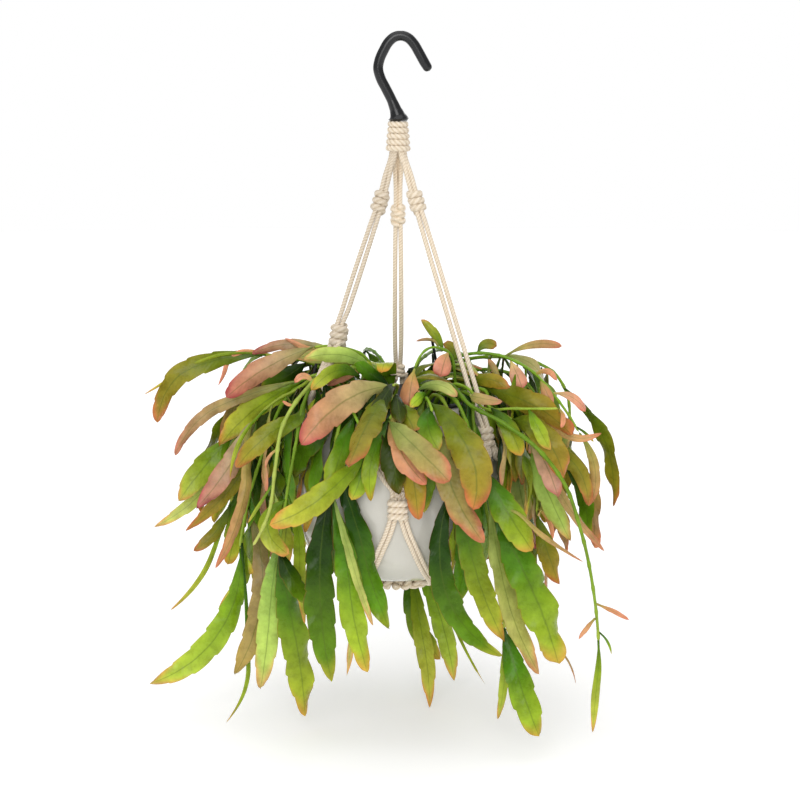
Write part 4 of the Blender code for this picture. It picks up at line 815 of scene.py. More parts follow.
# %% Peat
# Milled peat is all crumbs and fibre: dark, rough and without any gloss.
peat, shader = new_material("peat potting soil", Roughness=0.96)
place = add(peat, "TexCoord")
crumb = add(peat, "TexNoise", {"Scale": 1 / (3 * MM), "Detail": 6.0, "Roughness": 0.7},
            {"Vector": place.outputs["Object"]})
tone = add(peat, "ValToRGB", (), {"Fac": crumb.outputs["Fac"]})
tone.color_ramp.elements[0].position = 0.35
tone.color_ramp.elements[0].color = linear("#241A13")
tone.color_ramp.elements[1].position = 0.68
tone.color_ramp.elements[1].color = linear("#5B4636")
bump = add(peat, "Bump", {"Strength": 0.8, "Distance": 0.0012}, {"Height": crumb.outputs["Fac"]})
join(peat, shader, {"Base Color": tone.outputs["Color"], "Normal": bump.outputs["Normal"]})
print(peat.name)

# %% The soil
soil_foot = GROW_FOOT_Z + GROW_WALL + FIT_GAP
wide = grow_inner_radius(SOIL_TOP_Z) - 2 * FIT_GAP
profile = [(0, soil_foot), (grow_inner_radius(soil_foot) - 2 * FIT_GAP, soil_foot), (wide, SOIL_TOP_Z - 2)]
profile += [(wide - 2, SOIL_TOP_Z - 0.5), *[(r, SOIL_TOP_Z + 0.5 + (60 - r) / 60) for r in range(56, 0, -4)]]
profile.append((0, SOIL_TOP_Z + 1.5))
bm = turned(profile, 90)
for vert in bm.verts:
    if vert.co.z > (SOIL_TOP_Z - 1.5) * MM:
        vert.co.z += noise.fractal(vert.co / (7 * MM), 0.6, 2.0, 4) * 1.6 * MM
CRUMBS = 260
draw = random.Random("crumbs")
for _ in range(CRUMBS):
    crumb_place = around(58 * math.sqrt(draw.random()), 360 * draw.random(), SOIL_TOP_Z + 1.5)
    made = bmesh.ops.create_icosphere(bm, subdivisions=1, radius=draw.uniform(1, 2.6) * MM)["verts"]
    bmesh.ops.scale(bm, verts=made, vec=(1, draw.uniform(0.6, 1), draw.uniform(0.5, 0.9)))
    bmesh.ops.rotate(bm, verts=made, matrix=Matrix.Rotation(6.28 * draw.random(), 3, "Z"))
    bmesh.ops.translate(bm, verts=made, vec=crumb_place * MM)
finish_piece(bm, "soil_surface", peat, sharp=80, node="soil")

# %% [markdown]
# ## Where the plant grows
#
# Each spray is one rooted stem with its leaves, as a gardener would call the flat stem segments. The places
# of those that face the photograph are read from it: a pixel across, a pixel down, and how far in front of
# the pot's axis. The ones behind follow a rule. Then each is bent clear of the others, as its solid was.

# %% What a spray is
@dataclass
class Leaf:
    """One flat stem segment: its places from root to tip, and the way each may be pushed to clear others."""

    name: str
    kind: str
    width: float
    places: list
    pushes: list
    shape: str = "lance"


@dataclass
class Spray:
    """One rooted stem with its leaves. Its bearing is 0 at the front and grows towards the right."""

    name: str
    bearing: float
    tier: int
    stem: list
    pushes: list
    leaves: list = field(default_factory=list)
    radius: float = STEM_RADIUS
    over_rim: bool = True


# %% Places from the photograph
def seen_at(x, y, depth):
    """The place of what the photograph shows at pixel x, y, this many mm in front of the pot's axis."""
    ray = Vector(((x - 400) / VIEW_PIXELS, 0, 0)) + VIEW_UP * ((400 - y) / VIEW_PIXELS) - VIEW_BACK
    return VIEW_PLACE + ray * ((-depth - VIEW_PLACE.y) / ray.y)


def towards_viewer(x, y):
    """The way from a place to the viewer, as long as brings it 1 mm nearer in depth."""
    return seen_at(x, y, 1) - seen_at(x, y, 0)


def leaf(name, kind, width, *points, shape="lance"):
    """A leaf read from the photograph: each point is a pixel's x and y, and its depth in mm."""
    places = [seen_at(*p) for p in points]
    return Leaf(name, kind, width, places, [towards_viewer(*p[:2]) for p in points], shape)


def spray(name, bearing, tier, stem, *leaves, radius=STEM_RADIUS, over_rim=True):
    """A spray read from the photograph, in the same way."""
    places = [seen_at(*p) for p in stem]
    pushes = [towards_viewer(*p[:2]) for p in stem]
    return Spray(name, bearing, tier, places, pushes, list(leaves), radius, over_rim)


# %% The sprays that the photograph shows
SEEN_SPRAYS = [  # from the left round the front to the right
    spray(
        "spray_left_high", -80, 2, ((365, 352, 14), (344, 343, 16), (312, 342, 20)),
        leaf("blush_broad", "rose", 21, (312, 342, 20), (268, 361, 26), (224, 393, 30)),
        leaf("young_pale", "pale", 16, (370, 360, 4), (335, 351, 4), (294, 353, 0)),
        leaf("pale_short", "lime", 11, (374, 364, 24), (366, 362, 30), (350, 354, 34)),
        leaf("rose_edge", "rose", 10, (322, 342, 6), (285, 339, 4), (250, 349, 2)),
        leaf("bud_high", "coral", 5, (306, 343, 10), (296, 339, 8), (283, 333, 6)),
        over_rim=False,
    ),
    spray(
        "spray_left_far", -101, 1, ((322, 364, -25), (290, 353, -22), (262, 350, -15)),
        leaf("far_olive", "olive", 20, (262, 350, -15), (214, 355, -12), (176, 371, -8), (154, 418, -5)),
        leaf("far_spike", "lime", 4, (190, 359, -10), (170, 372, -12), (141, 390, -14), shape="ribbon"),
        leaf("far_bud", "coral", 5, (226, 356, -14), (222, 368, -16), (216, 381, -18)),
        leaf("under_green", "dark", 20, (306, 358, -20), (288, 370, -16), (260, 386, -12)),
        over_rim=False,
    ),
    spray(
        "spray_left_mid", -82, 1, ((320, 370, 10), (300, 376, 10)),
        leaf("tan_arch", "tan", 12, (300, 376, 6), (245, 391, 8), (203, 410, 8), (172, 451, 10)),
        leaf("lime_broad", "lime", 23, (304, 374, 12), (254, 404, 20), (218, 441, 24)),
        leaf("shaded_mid", "shade", 24, (304, 376, 4), (268, 412, -6), (242, 456, -8)),
        over_rim=False,
    ),
    spray(
        "spray_left_whip", -50, 2,
        ((366, 366, 36), (350, 363, 52), (332, 365, 64), (304, 386, 82), (289, 406, 90), (276, 439, 98),
         (274, 462, 102), (270, 490, 106), (264, 520, 108), (251, 543, 108)),
        leaf("bud_low", "coral", 6, (312, 378, 74), (303, 371, 76), (293, 378, 78)),
        leaf("whip_side", "lime", 3.2, (271, 480, 105), (260, 498, 108), (246, 520, 110), shape="ribbon"),
        leaf("spur_upper", "coral", 3, (294, 400, 88), (287, 400, 90), (281, 396, 92)),
        leaf("spur_lower", "coral", 3, (275, 445, 99), (268, 452, 100), (264, 465, 100)),
        leaf("coral_twist", "coral", 11, (362, 364, 40), (346, 369, 56), (327, 381, 62)),
        radius=2.1, over_rim=False,
    ),
    spray(
        "spray_front_rose", -16, 1, ((397, 380, 58), (392, 382, 72)),
        leaf("rose_broad", "rose", 29, (394, 381, 70), (350, 393, 98), (300, 441, 118)),
        leaf("rose_second", "olive", 24, (392, 382, 72), (366, 422, 102), (348, 464, 112)),
        leaf("shaded_front", "shade", 14, (392, 382, 72), (378, 405, 88), (370, 428, 96)),
        over_rim=False,
    ),
    spray(
        "spray_front_lime", -25, 0, ((352, 398, 84), (360, 425, 98), (366, 450, 106)),
        leaf("lime_sweep", "lime", 23, (366, 450, 106), (340, 477, 118), (305, 505, 128), (268, 522, 132)),
        leaf("green_inner", "green", 18, (365, 447, 104), (360, 474, 106), (351, 497, 108)),
        leaf("green_mid", "green", 19, (355, 410, 90), (336, 462, 104), (328, 492, 106)),
        leaf("shaded_side", "dark", 20, (352, 400, 86), (312, 436, 88), (294, 474, 84)),
    ),
    spray(
        "spray_front_left_long", -36, 0, ((340, 410, 92), (333, 450, 102), (330, 490, 106)),
        leaf("hanging_wide", "dark", 28, (331, 480, 105), (319, 560, 112), (321, 622, 112), (331, 681, 110)),
        leaf("hanging_lime", "green", 24, (330, 490, 106), (345, 555, 107), (353, 615, 107), (367, 671, 105)),
        leaf("hanging_dark", "dark", 22, (333, 455, 102), (358, 530, 100), (372, 583, 98), (389, 627, 97)),
        leaf("yellow_edge", "pale", 8, (331, 485, 106), (347, 545, 114), (361, 592, 114), (373, 624, 112)),
        leaf("low_pale", "pale", 11, (336, 430, 98), (352, 560, 78), (352, 630, 60), (346, 675, 50)),
    ),
    spray(
        "spray_left_low_green", -51, 1, ((308, 400, 66), (294, 450, 78), (284, 500, 82), (277, 545, 84)),
        leaf("olive_long", "olive", 19, (308, 400, 66), (300, 410, 74), (270, 428, 84), (234, 464, 90)),
        leaf("dark_cross", "dark", 17, (277, 545, 84), (290, 575, 86), (310, 602, 86)),
        leaf("floor_reach", "green", 28, (278, 540, 83), (287, 600, 52), (299, 665, 26), (304, 716, 6)),
        leaf("pale_hanging", "pale", 22, (279, 535, 82), (270, 590, 46), (265, 645, 36), (259, 687, 30)),
        leaf("lime_tongue", "lime", 18, (286, 495, 82), (266, 524, 92), (287, 552, 96)),
        leaf("lime_strap", "lime", 12, (287, 490, 81), (297, 530, 66), (299, 575, 60), (304, 622, 58)),
    ),
    spray(
        "spray_left_long_low", -76, 0, ((284, 400, 10), (262, 450, 10), (246, 500, 10), (238, 545, 10)),
        leaf("long_tongue", "lime", 24, (238, 545, 10), (232, 600, 6), (205, 646, 4), (146, 683, 0)),
        leaf("brown_wave", "bronze", 21, (244, 505, 12), (261, 575, 30), (254, 625, 28), (233, 673, 24)),
        leaf("thin_curl", "green", 4.5, (239, 540, 10), (246, 650, 12), (246, 676, 10), (224, 722, 8),
             shape="ribbon"),
        leaf("lime_stub", "lime", 14, (239, 538, 10), (240, 575, -6), (217, 609, -10)),
    ),
    spray(
        "spray_left_outer", -118, 1, ((290, 372, -50), (255, 400, -38), (232, 430, -24)),
        leaf("outer_lime", "lime", 23, (232, 430, -24), (203, 462, -14), (176, 498, -8)),
        leaf("outer_tongue", "pale", 13, (236, 424, -26), (214, 470, -30), (186, 502, -26), (151, 524, -22)),
        leaf("outer_tail", "green", 18, (240, 420, -28), (226, 470, -46), (212, 520, -50)),
    ),
    spray(
        "spray_left_brown", -73, 1, ((300, 382, 20), (272, 398, 22), (250, 420, 24)),
        leaf("brown_tongue", "rose", 20, (250, 420, 24), (228, 461, 30), (194, 505, 34)),
        leaf("olive_short", "olive", 14, (252, 417, 24), (226, 488, 12), (206, 508, 14), (183, 528, 14)),
        leaf("thin_strap", "lime", 4, (266, 402, 24), (242, 430, 40), (228, 475, 44), shape="ribbon"),
        leaf("tan_drop", "tan", 11, (251, 419, 24), (243, 490, 44), (229, 535, 46), (213, 566, 46)),
    ),
    spray(
        "spray_left_ribbon", -103, 0, ((278, 395, -20), (247, 450, -28), (228, 500, -30)),
        leaf("small_hook", "olive", 12, (228, 500, -30), (214, 528, -30), (191, 548, -28)),
        leaf("long_ribbon", "lime", 5, (229, 497, -30), (216, 535, -34), (203, 567, -34), (168, 608, -32),
             shape="ribbon"),
        leaf("shaded_fan", "green", 20, (236, 480, -29), (234, 520, -40), (226, 562, -46)),
        leaf("shaded_back", "dark", 22, (250, 445, -28), (256, 490, -44), (262, 540, -52)),
    ),
    spray(
        "spray_front_dark", -4, 0, ((394, 402, 92), (388, 416, 101)),
        leaf("grey_broad", "blush", 27, (388, 416, 100), (412, 440, 122), (450, 478, 134)),
        leaf("green_spike", "green", 14, (389, 414, 99), (376, 440, 105), (369, 468, 108), (371, 498, 110)),
        leaf("dark_tongue", "shade", 25, (394, 406, 90), (394, 455, 106), (398, 491, 110)),
        leaf("brown_upper", "olive", 21, (396, 402, 84), (404, 408, 92), (414, 428, 106)),
        leaf("coral_edge", "coral", 18, (389, 414, 98), (402, 450, 114), (427, 481, 122)),
    ),
    spray(
        "spray_front_right_broad", 17, 0, ((430, 399, 92), (433, 408, 99)),
        leaf("red_margin", "olive", 31, (431, 397, 88), (460, 430, 112), (477, 470, 122), (474, 506, 124)),
        leaf("tan_tongue", "blush", 25, (430, 398, 88), (446, 466, 108), (462, 505, 116), (485, 540, 120)),
        leaf("coral_tongue", "olive", 23, (428, 395, 84), (412, 458, 103), (416, 490, 108), (419, 517, 110)),
        leaf("green_inner_right", "green", 22, (430, 396, 86), (428, 420, 97), (440, 446, 101)),
        leaf("green_fold", "green", 10, (426, 390, 78), (423, 391, 84), (410, 403, 90)),
    ),
    spray(
        "spray_crown_loop", 58, 1,
        ((457, 388, 14), (455, 368, 20), (451, 349, 24), (436, 341, 28), (423, 349, 32), (415, 363, 36)),
        leaf("teardrop", "coral", 17, (415, 363, 36), (411, 382, 42), (409, 402, 46), shape="spoon"),
        leaf("pink_spoon", "pink", 17, (449, 347, 25), (445, 356, 33), (441, 372, 38), shape="spoon"),
        leaf("orange_upright", "olive", 11, (453, 356, 22), (454, 345, 15), (444, 338, 10)),
        leaf("yellow_upright", "lime", 9, (448, 346, 25), (436, 330, 16), (421, 314, 12)),
        leaf("tan_thread", "tan", 3, (445, 344, 26), (436, 337, 22), (416, 336, 20), shape="ribbon"),
        radius=1.6, over_rim=False,
    ),
    spray(
        "spray_right_high_arch", 78, 2,
        ((452, 354, 6), (478, 348, 10), (503, 351, 12), (529, 363, 16), (554, 388, 18), (572, 414, 20),
         (581, 428, 20)),
        leaf("arch_end", "tan", 10, (581, 428, 20), (593, 450, 22), (598, 472, 22), (592, 502, 22)),
        leaf("orange_spoon", "olive", 10, (478, 348, 10), (486, 339, 8), (498, 341, 8), shape="spoon"),
        leaf("tan_wing", "tan", 8, (505, 351, 12), (532, 340, 8), (564, 341, 6), shape="spoon"),
        leaf("pink_drop", "pink", 15, (511, 354, 13), (518, 369, 20), (524, 384, 22), shape="spoon"),
        leaf("orange_bud", "coral", 6, (537, 369, 17), (549, 366, 20), (559, 376, 22)),
        leaf("orange_drop", "coral", 10, (540, 372, 17), (548, 387, 22), (554, 403, 24)),
        leaf("pink_wing", "pink", 9, (555, 389, 18), (574, 393, 20), (588, 407, 22), shape="spoon"),
        leaf("arch_spur", "green", 3, (582, 428, 20), (589, 430, 22), (596, 438, 22)),
        radius=1.7, over_rim=False,
    ),
    spray(
        "spray_right_low_arch", 46, 1, ((480, 401, 64), (520, 404, 72), (561, 404, 72)),
        leaf("arch_bud", "coral", 5, (561, 404, 72), (565, 412, 72), (563, 424, 72)),
        leaf("tan_sweep", "tan", 10, (470, 400, 62), (474, 392, 78), (488, 395, 84), (504, 397, 88)),
        leaf("green_hang", "green", 17, (492, 403, 68), (510, 424, 82), (522, 452, 86)),
        leaf("lime_hang", "lime", 13, (530, 405, 74), (540, 424, 80), (552, 446, 82)),
        radius=1.6,
    ),
    spray(
        "spray_right_olive", 92, 1, ((466, 384, 14), (486, 381, 26), (512, 383, 34), (547, 395, 38)),
        leaf("olive_top", "olive", 14, (467, 384, 14), (486, 374, 32), (512, 385, 42)),
        leaf("olive_broad", "olive", 23, (482, 382, 24), (516, 392, 48), (548, 408, 56), (574, 431, 58)),
        leaf("pink_blade", "tan", 8, (520, 385, 36), (552, 418, 44), (578, 434, 46), (604, 429, 46)),
        leaf("tan_small", "tan", 6, (500, 381, 30), (497, 368, 26), (489, 354, 24)),
        radius=1.7, over_rim=False,
    ),
    spray(
        "spray_right_whip", 40, 2,
        ((446, 378, 50), (474, 403, 78), (503, 418, 86), (535, 441, 92), (556, 463, 94), (570, 488, 94),
         (580, 516, 94), (586, 540, 94), (593, 575, 92), (599, 605, 90), (601, 640, 88)),
        leaf("whip_end", "lime", 7.5, (601, 638, 88), (601, 662, 84), (598, 694, 80), (595, 732, 76),
             shape="ribbon"),
        leaf("shoot_right", "coral", 4.5, (599, 602, 90), (615, 609, 92), (632, 618, 94)),
        leaf("shoot_left", "coral", 4.5, (600, 615, 90), (591, 624, 92), (581, 638, 94)),
        leaf("shoot_low", "green", 2.4, (601, 634, 88), (610, 640, 90), (614, 653, 92), shape="ribbon"),
        radius=2.1, over_rim=False,
    ),
    spray(
        "spray_right_pink", 68, 0, ((490, 402, 40), (512, 414, 46), (532, 432, 52)),
        leaf("pink_tongue", "pink", 20, (532, 432, 52), (547, 460, 64), (560, 493, 68)),
        leaf("brown_broad", "olive", 24, (512, 414, 46), (542, 428, 72), (566, 474, 76)),
        leaf("yellow_tongue", "olive", 15, (530, 430, 51), (558, 444, 34), (578, 462, 32), (591, 503, 32)),
        leaf("pale_tongue", "pale", 21, (532, 433, 52), (545, 478, 42), (558, 508, 38), (572, 538, 38)),
        leaf("tan_tongue_right", "tan", 9, (533, 434, 52), (562, 490, 52), (582, 520, 50), (607, 548, 50)),
    ),
    spray(
        "spray_right_inner", 88, 0,
        ((495, 410, 8), (510, 428, 12), (526, 446, 16), (537, 475, 20), (538, 510, 22)),
        leaf("olive_inner", "olive", 19, (508, 426, 11), (515, 452, 26), (517, 479, 30)),
        leaf("pale_inner", "pale", 20, (520, 438, 14), (520, 480, 6), (530, 518, 2)),
        leaf("lime_end", "olive", 19, (538, 510, 22), (547, 542, 24), (561, 582, 26)),
        leaf("dark_inner", "dark", 18, (504, 421, 9), (512, 458, -4), (514, 496, -8)),
        leaf("small_coral", "coral", 5, (538, 508, 22), (552, 520, 16), (554, 537, 14)),
    ),
    spray(
        "spray_right_drop", 34, 0, ((470, 425, 84), (484, 465, 94), (494, 510, 98)),
        leaf("olive_wide", "green", 27, (484, 465, 94), (508, 508, 106), (534, 548, 110)),
        leaf("tan_whisker", "tan", 4.5, (494, 506, 98), (515, 508, 104), (541, 530, 106), (585, 559, 108),
             shape="ribbon"),
        leaf("widest", "green", 34, (494, 510, 98), (522, 562, 100), (544, 612, 98), (560, 662, 96)),
        leaf("pale_long", "pale", 20, (493, 505, 97), (500, 560, 88), (514, 615, 86), (541, 673, 84)),
    ),
    spray(
        "spray_right_long_low", 26.5, 0, ((455, 430, 92), (456, 460, 100), (456, 480, 103)),
        leaf("long_green", "dark", 23, (455, 478, 103), (440, 545, 108), (450, 600, 106), (502, 655, 100)),
        leaf("long_second", "green", 24, (456, 480, 103), (470, 545, 96), (487, 600, 95), (506, 640, 94)),
        leaf("long_dark", "dark", 21, (456, 470, 101), (466, 520, 86), (466, 562, 82), (455, 603, 80)),
    ),
    spray(
        "spray_right_lowest", 49, 0,
        ((474, 424, 70), (484, 480, 78), (492, 540, 76), (500, 590, 82), (506, 628, 88)),
        leaf("lowest", "green", 25, (506, 626, 88), (518, 672, 100), (541, 736, 108)),
        leaf("low_sliver", "lime", 8.5, (506, 624, 88), (506, 672, 82), (499, 719, 78)),
        leaf("low_thread", "tan", 2.4, (502, 600, 84), (545, 636, 72), (565, 652, 70), (578, 683, 70),
             shape="ribbon"),
        radius=1.7,
    ),
    spray(
        "spray_under_back", 164, 0, ((404, 440, -112), (410, 520, -112), (412, 565, -104)),
        leaf("under_green", "green", 20, (410, 560, -105), (412, 600, -92), (422, 630, -84), (441, 658, -78)),
        leaf("under_lime", "lime", 18, (412, 565, -104), (420, 620, -72), (427, 662, -66), (430, 707, -60)),
        leaf("under_right", "lime", 20,
             (413, 560, -105), (434, 595, -108), (446, 634, -106), (455, 680, -102)),
        leaf("under_thread", "green", 3.4, (412, 562, -105), (448, 610, -122), (468, 652, -118),
             (486, 683, -116), shape="ribbon"),
    ),
]
print(len(SEEN_SPRAYS), "sprays are read from the photograph")

# %% The sprays behind
BACK_BEARINGS = ((106, 123, 140, 198, 218, 238), (114, 142, 190, 222), (118, 158, 196, 234))  # of each tier
BACK_REACH = (118, 150, 184)  # how far out the stems of each tier come
BACK_LEAVES = (4, 4, 5)
BACK_KINDS = ("green", "lime", "olive", "dark", "pale", "olive", "tan", "green", "blush")
LOWEST_BACK_TIP_Z = -565


def back_sprays():
    """The sprays behind, which the photograph hides: the same kinds, by a rule with seeded draws."""
    sprays = []
    for tier, bearings in enumerate(BACK_BEARINGS):
        for number, bearing in enumerate(bearings):
            draw = random.Random(f"back {tier} {number}")
            reach = BACK_REACH[tier] + draw.uniform(-8, 8)
            sway = draw.uniform(-5, 5)
            drop = draw.uniform(40, 90) + 20 * (2 - tier)
            stem = [
                around(0.5 * (GATE_RADIUS + reach), bearing + sway / 2, TIER_GATE_Z[tier] - 3),
                around(reach, bearing + sway, TIER_GATE_Z[tier] - 28),
                around(reach + 5, bearing + sway, TIER_GATE_Z[tier] - 28 - drop),
            ]
            made = Spray(f"spray_back_{'low mid high'.split()[tier]}_{number + 1}", bearing, tier, stem, [])
            made.pushes = [around(1, bearing, 0) for _ in stem]
            made.leaves = [back_leaf(draw, made, i) for i in range(BACK_LEAVES[tier])]
            sprays.append(made)
    return sprays


def back_leaf(draw, owner, number):
    """One leaf of a spray behind: it springs outwards from the stem, bends over and hangs."""
    share = (number + 0.6) / BACK_LEAVES[owner.tier]
    along = smooth([around(GATE_RADIUS, owner.bearing, TIER_GATE_Z[owner.tier])] + owner.stem, 21)
    root = Vector(along[int(4 + share * 16)])
    side = 1 if number % 2 else -1
    out = Vector((root.x, root.y, 0)).normalized()
    across = Vector((-out.y, out.x, 0)) * side
    length = draw.uniform(78, 128)
    if root.z - length < LOWEST_BACK_TIP_Z:
        length = root.z - LOWEST_BACK_TIP_Z
    lean, spread = draw.uniform(0.12, 0.34), draw.uniform(0.1, 0.42)
    middle = root + out * lean * length * 0.8 + across * spread * length * 0.6 - Vector((0, 0, 0.36 * length))
    tip = root + out * lean * length + across * spread * length - Vector((0, 0, 0.94 * length))
    width = draw.uniform(17, 26)
    kind = BACK_KINDS[draw.randrange(len(BACK_KINDS))]
    return Leaf(f"leaf_{number + 1}", kind, width, [root, middle, tip], [out] * 3)


print(sum(len(bearings) for bearings in BACK_BEARINGS), "sprays stand behind")


# %% Plain shapes to test for room
def ring_faces(rings, sides):
    """The triangles between this many rings of places."""
    faces = []
    for ring in range(rings - 1):
        for i in range(sides):
            a, b = ring * sides + i, ring * sides + (i + 1) % sides
            faces += [(a, b, b + sides), (a, b + sides, a + sides)]
    return faces


def tube(points, radii, sides):
    """A round bar along the points with flat ends: its vertices, and its triangles."""
    points = np.array([tuple(p) for p in points], float)
    tangents = unit(np.gradient(points, axis=0))
    side = np.cross(tangents[0], (0, 0, 1) if abs(tangents[0][2]) < 0.9 else (1, 0, 0))
    turns = 2 * math.pi * np.arange(sides)[:, None] / sides
    verts = []
    for point, tangent, radius in zip(points, tangents, radii, strict=True):
        side = unit(side - tangent * side.dot(tangent))
        up = np.cross(tangent, side)
        verts.append(point + radius * np.cos(turns) * side + radius * np.sin(turns) * up)
    faces = ring_faces(len(points), sides)
    last = (len(points) - 1) * sides
    faces += [(0, i + 1, i) for i in range(1, sides - 1)]
    faces += [(last, last + i, last + i + 1) for i in range(1, sides - 1)]
    return np.vstack(verts), faces


# %% A leaf's plain body
def half_width(share, shape):
    """Half of a blade's width, from 0 at its base (share 0) to its tip (share 1), where 1 is the most."""
    peak, blunt = {"lance": (0.55, 2.3), "spoon": (0.66, 2.6), "ribbon": (0.6, 1.5)}[shape]
    if share < peak:
        rise = max(share, 0) / peak
        return math.sin(rise * math.pi / 2) ** (1.15 if shape == "spoon" else 0.85)
    return 1 - ((share - peak) / (1 - peak)) ** blunt


def turned_about(across, normal, turns):
    """Both directions, turned about a leaf's line."""
    return across * np.cos(turns) + normal * np.sin(turns), normal * np.cos(turns) - across * np.sin(turns)


def blade(made, line, turn, grow=0.0):
    """A leaf's closed body of triangles. Its two edges have notches that alternate, and its two faces
    are split alike. grow is added on every side, to test for clearance."""
    most = 3 if made.shape == "ribbon" else 6
    count = int(min(most, max(2, round(length_of(line) / NOTCH_PITCH))))
    shares = [0.0, 0.0]
    for i in range(count):
        shares += [(i + 0.75) / (count + 0.6), (i + 1.2) / (count + 0.6)]
    shares.append(1.0)
    centre, tangent = at_shares(line, shares)
    facing = facing_of(made)
    across = unit(np.cross(tangent, facing))
    normal = np.cross(across, tangent)
    turns = np.array([turn * (0.35 + 0.65 * s) for s in shares])[:, None]
    across, normal = turned_about(across, normal, turns)
    sides = np.array([1.0 if i % 2 == 0 else -1.0 for i in range(len(shares) - 1)] + [0.0])
    stalk = 0.06
    widths = []
    for i, share in enumerate(shares):
        lobe = 1.0 if (i // 2 + i) % 2 == 0 else 0.84
        full = 0.5 * made.width * half_width((share - stalk) / (1 - stalk), made.shape) * lobe
        widths.append(max(full, min(STALK_HALF_WIDTH, 0.5 * made.width)) + grow)
    inner = range(2, len(shares) - 1)
    wave = [0.03 * made.width * math.sin(2.4 * i) if i in inner else 0 for i in range(len(shares))]
    middle = centre + across * (sides * widths)[:, None] + normal * np.array(wave)[:, None]
    middle[-1] += tangent[-1] * grow
    half = 0.5 * BLADE_THICKNESS + grow
    verts = np.vstack([middle + normal * half, middle - normal * half])
    return verts, blade_faces(len(shares))


def blade_faces(n):
    faces = []
    for k in range(n - 2):
        a, b, c = (k, k + 1, k + 2) if k % 2 == 0 else (k + 1, k, k + 2)
        faces += [(a, c, b), (a + n, b + n, c + n)]
    edge = list(range(0, n - 1, 2)) + [n - 1] + list(range(n - 2 if n % 2 else n - 3, 0, -2))
    for a, b in zip(edge, edge[1:] + edge[:1]):
        faces += [(b, a, a + n), (b, a + n, b + n)]
    return faces


def facing_of(made):
    """The way that a leaf's broad face looks: where it would be pushed, and a little upwards."""
    push = np.array(made.pushes[len(made.pushes) // 2])
    return unit(push + np.array((0, 0, 0.12)))


# %% What stands where
class Room:
    """What stands where, so that the sprays are bent clear of each other and of the hanger and pot."""

    def __init__(self):
        self.held = []

    def add(self, owner, verts, faces):
        self.held.append((owner, verts.min(0), verts.max(0), BVHTree.FromPolygons(verts.tolist(), faces)))

    def blocked(self, owner, verts, faces, own=False):
        """The owner of the first thing that this body would cross: its own spray or, by default, all
        the others."""
        low, high = verts.min(0), verts.max(0)
        tree = None
        for other, other_low, other_high, other_tree in self.held:
            if (other == owner) != own or (low > other_high).any() or (high < other_low).any():
                continue
            tree = tree or BVHTree.FromPolygons(verts.tolist(), faces)
            if tree.overlap(other_tree):
                return other
        return None


# %% What the plant keeps clear of
def pot_shell(sides):
    """The pot's and grow pot's walls above the soil, for stems and leaves to keep clear of."""
    top = FLANGE_Z + FLANGE_THICKNESS + 0.2
    rings = [(grow_inner_radius(z), z) for z in (SOIL_TOP_Z, top)] + [(FLANGE_RADIUS + 0.3, top)]
    rings += [(pot_radius(z) + 1.0, z) for z in (-334, -350, -370, -402, -442, -468, -479)] + [(20, -481)]
    turns = 2 * math.pi * np.arange(sides) / sides
    verts = np.vstack([np.stack([r * np.cos(turns), r * np.sin(turns), 0 * turns + z], 1) for r, z in rings])
    return verts, ring_faces(len(rings), sides)


def fill_room():
    """Plain bodies, a little wider than the pieces of the pot and the hanger, to keep the plant clear."""
    room = Room()
    room.add("pot", *pot_shell(24))
    for name, made in LEGS.items():
        heights = np.linspace(-72, made.lower_knot[1] - made.lower_knot[3], 9)
        room.add(name, *tube([leg_axis(made, z) for z in heights], [7.0] * 9, 8))
        for _, z, half_width, half_height in (made.upper_knot, made.lower_knot):
            ends = [leg_axis(made, z + half_height), leg_axis(made, z - half_height)]
            room.add(name, *tube(ends, [half_width + 1] * 2, 8))
        for net_bearing in NET_BEARINGS.values():
            if reaches(made, net_bearing):
                room.add(name, *tube(pair_line(made, net_bearing, 9), [5.2] * 9, 6))
    for net_bearing in NET_BEARINGS.values():
        knot = [around(NET_KNOT_RADIUS, net_bearing, NET_KNOT_Z + dz) for dz in (-9, 9)]
        room.add("net", *tube(knot, [10.5, 10.5], 8))
        for side in (-1, 1):
            room.add("net", *tube(lower_line(net_bearing, side, 8), [5.0] * 8, 6))
    ring = [around(RING_RADIUS, bearing, RING_Z) for bearing in range(0, 361, 30)]
    room.add("ring", *tube(ring, [RING_CORD_RADIUS + 1] * len(ring), 6))
    for name, places in arms().items():
        room.add(name, *tube(places, [2.2] * len(places), 5))
    return room


print(len(fill_room().held), "plain bodies of the pot and the hanger")


# %% A stem's line and a leaf's line
def stem_line(made, push, lift):
    """The middle of a spray's stem, from the foot of its hole in the soil to its end. It may be pushed
    along and lifted where it crosses the rim."""
    base = TIER_RADIUS[made.tier]
    places = [
        around(base, made.bearing, SOIL_TOP_Z - HOLE_DEPTH + FIT_GAP),
        around(base, made.bearing, SOIL_TOP_Z - 0.3 * HOLE_DEPTH),
        around(base, made.bearing, SOIL_TOP_Z + 6),
    ]
    if made.over_rim:
        gate_z = TIER_GATE_Z[made.tier] + lift
        places.append(around(RISE_RADIUS[made.tier], made.bearing, gate_z - 12))
        places.append(around(GATE_RADIUS - 14, made.bearing, gate_z))
        places.append(around(GATE_RADIUS, made.bearing, gate_z))
    last = len(made.stem)
    for i, place in enumerate(made.stem):
        raised = Vector((0, 0, lift * max(0.0, 1 - 0.5 * i)))
        places.append(place + made.pushes[i] * push * (i + 1) / last + raised)
    fine = smooth(places[1:], 90)
    count = int(min(11, max(6 + made.over_rim, round(length_of(fine) / STEM_PITCH))))
    above = fine[np.linalg.norm(fine - fine[0], axis=1) > (places[2] - places[1]).length + 3]
    return np.vstack([[places[0]], closer_at_bends(np.vstack([[places[2]], above]), count)])


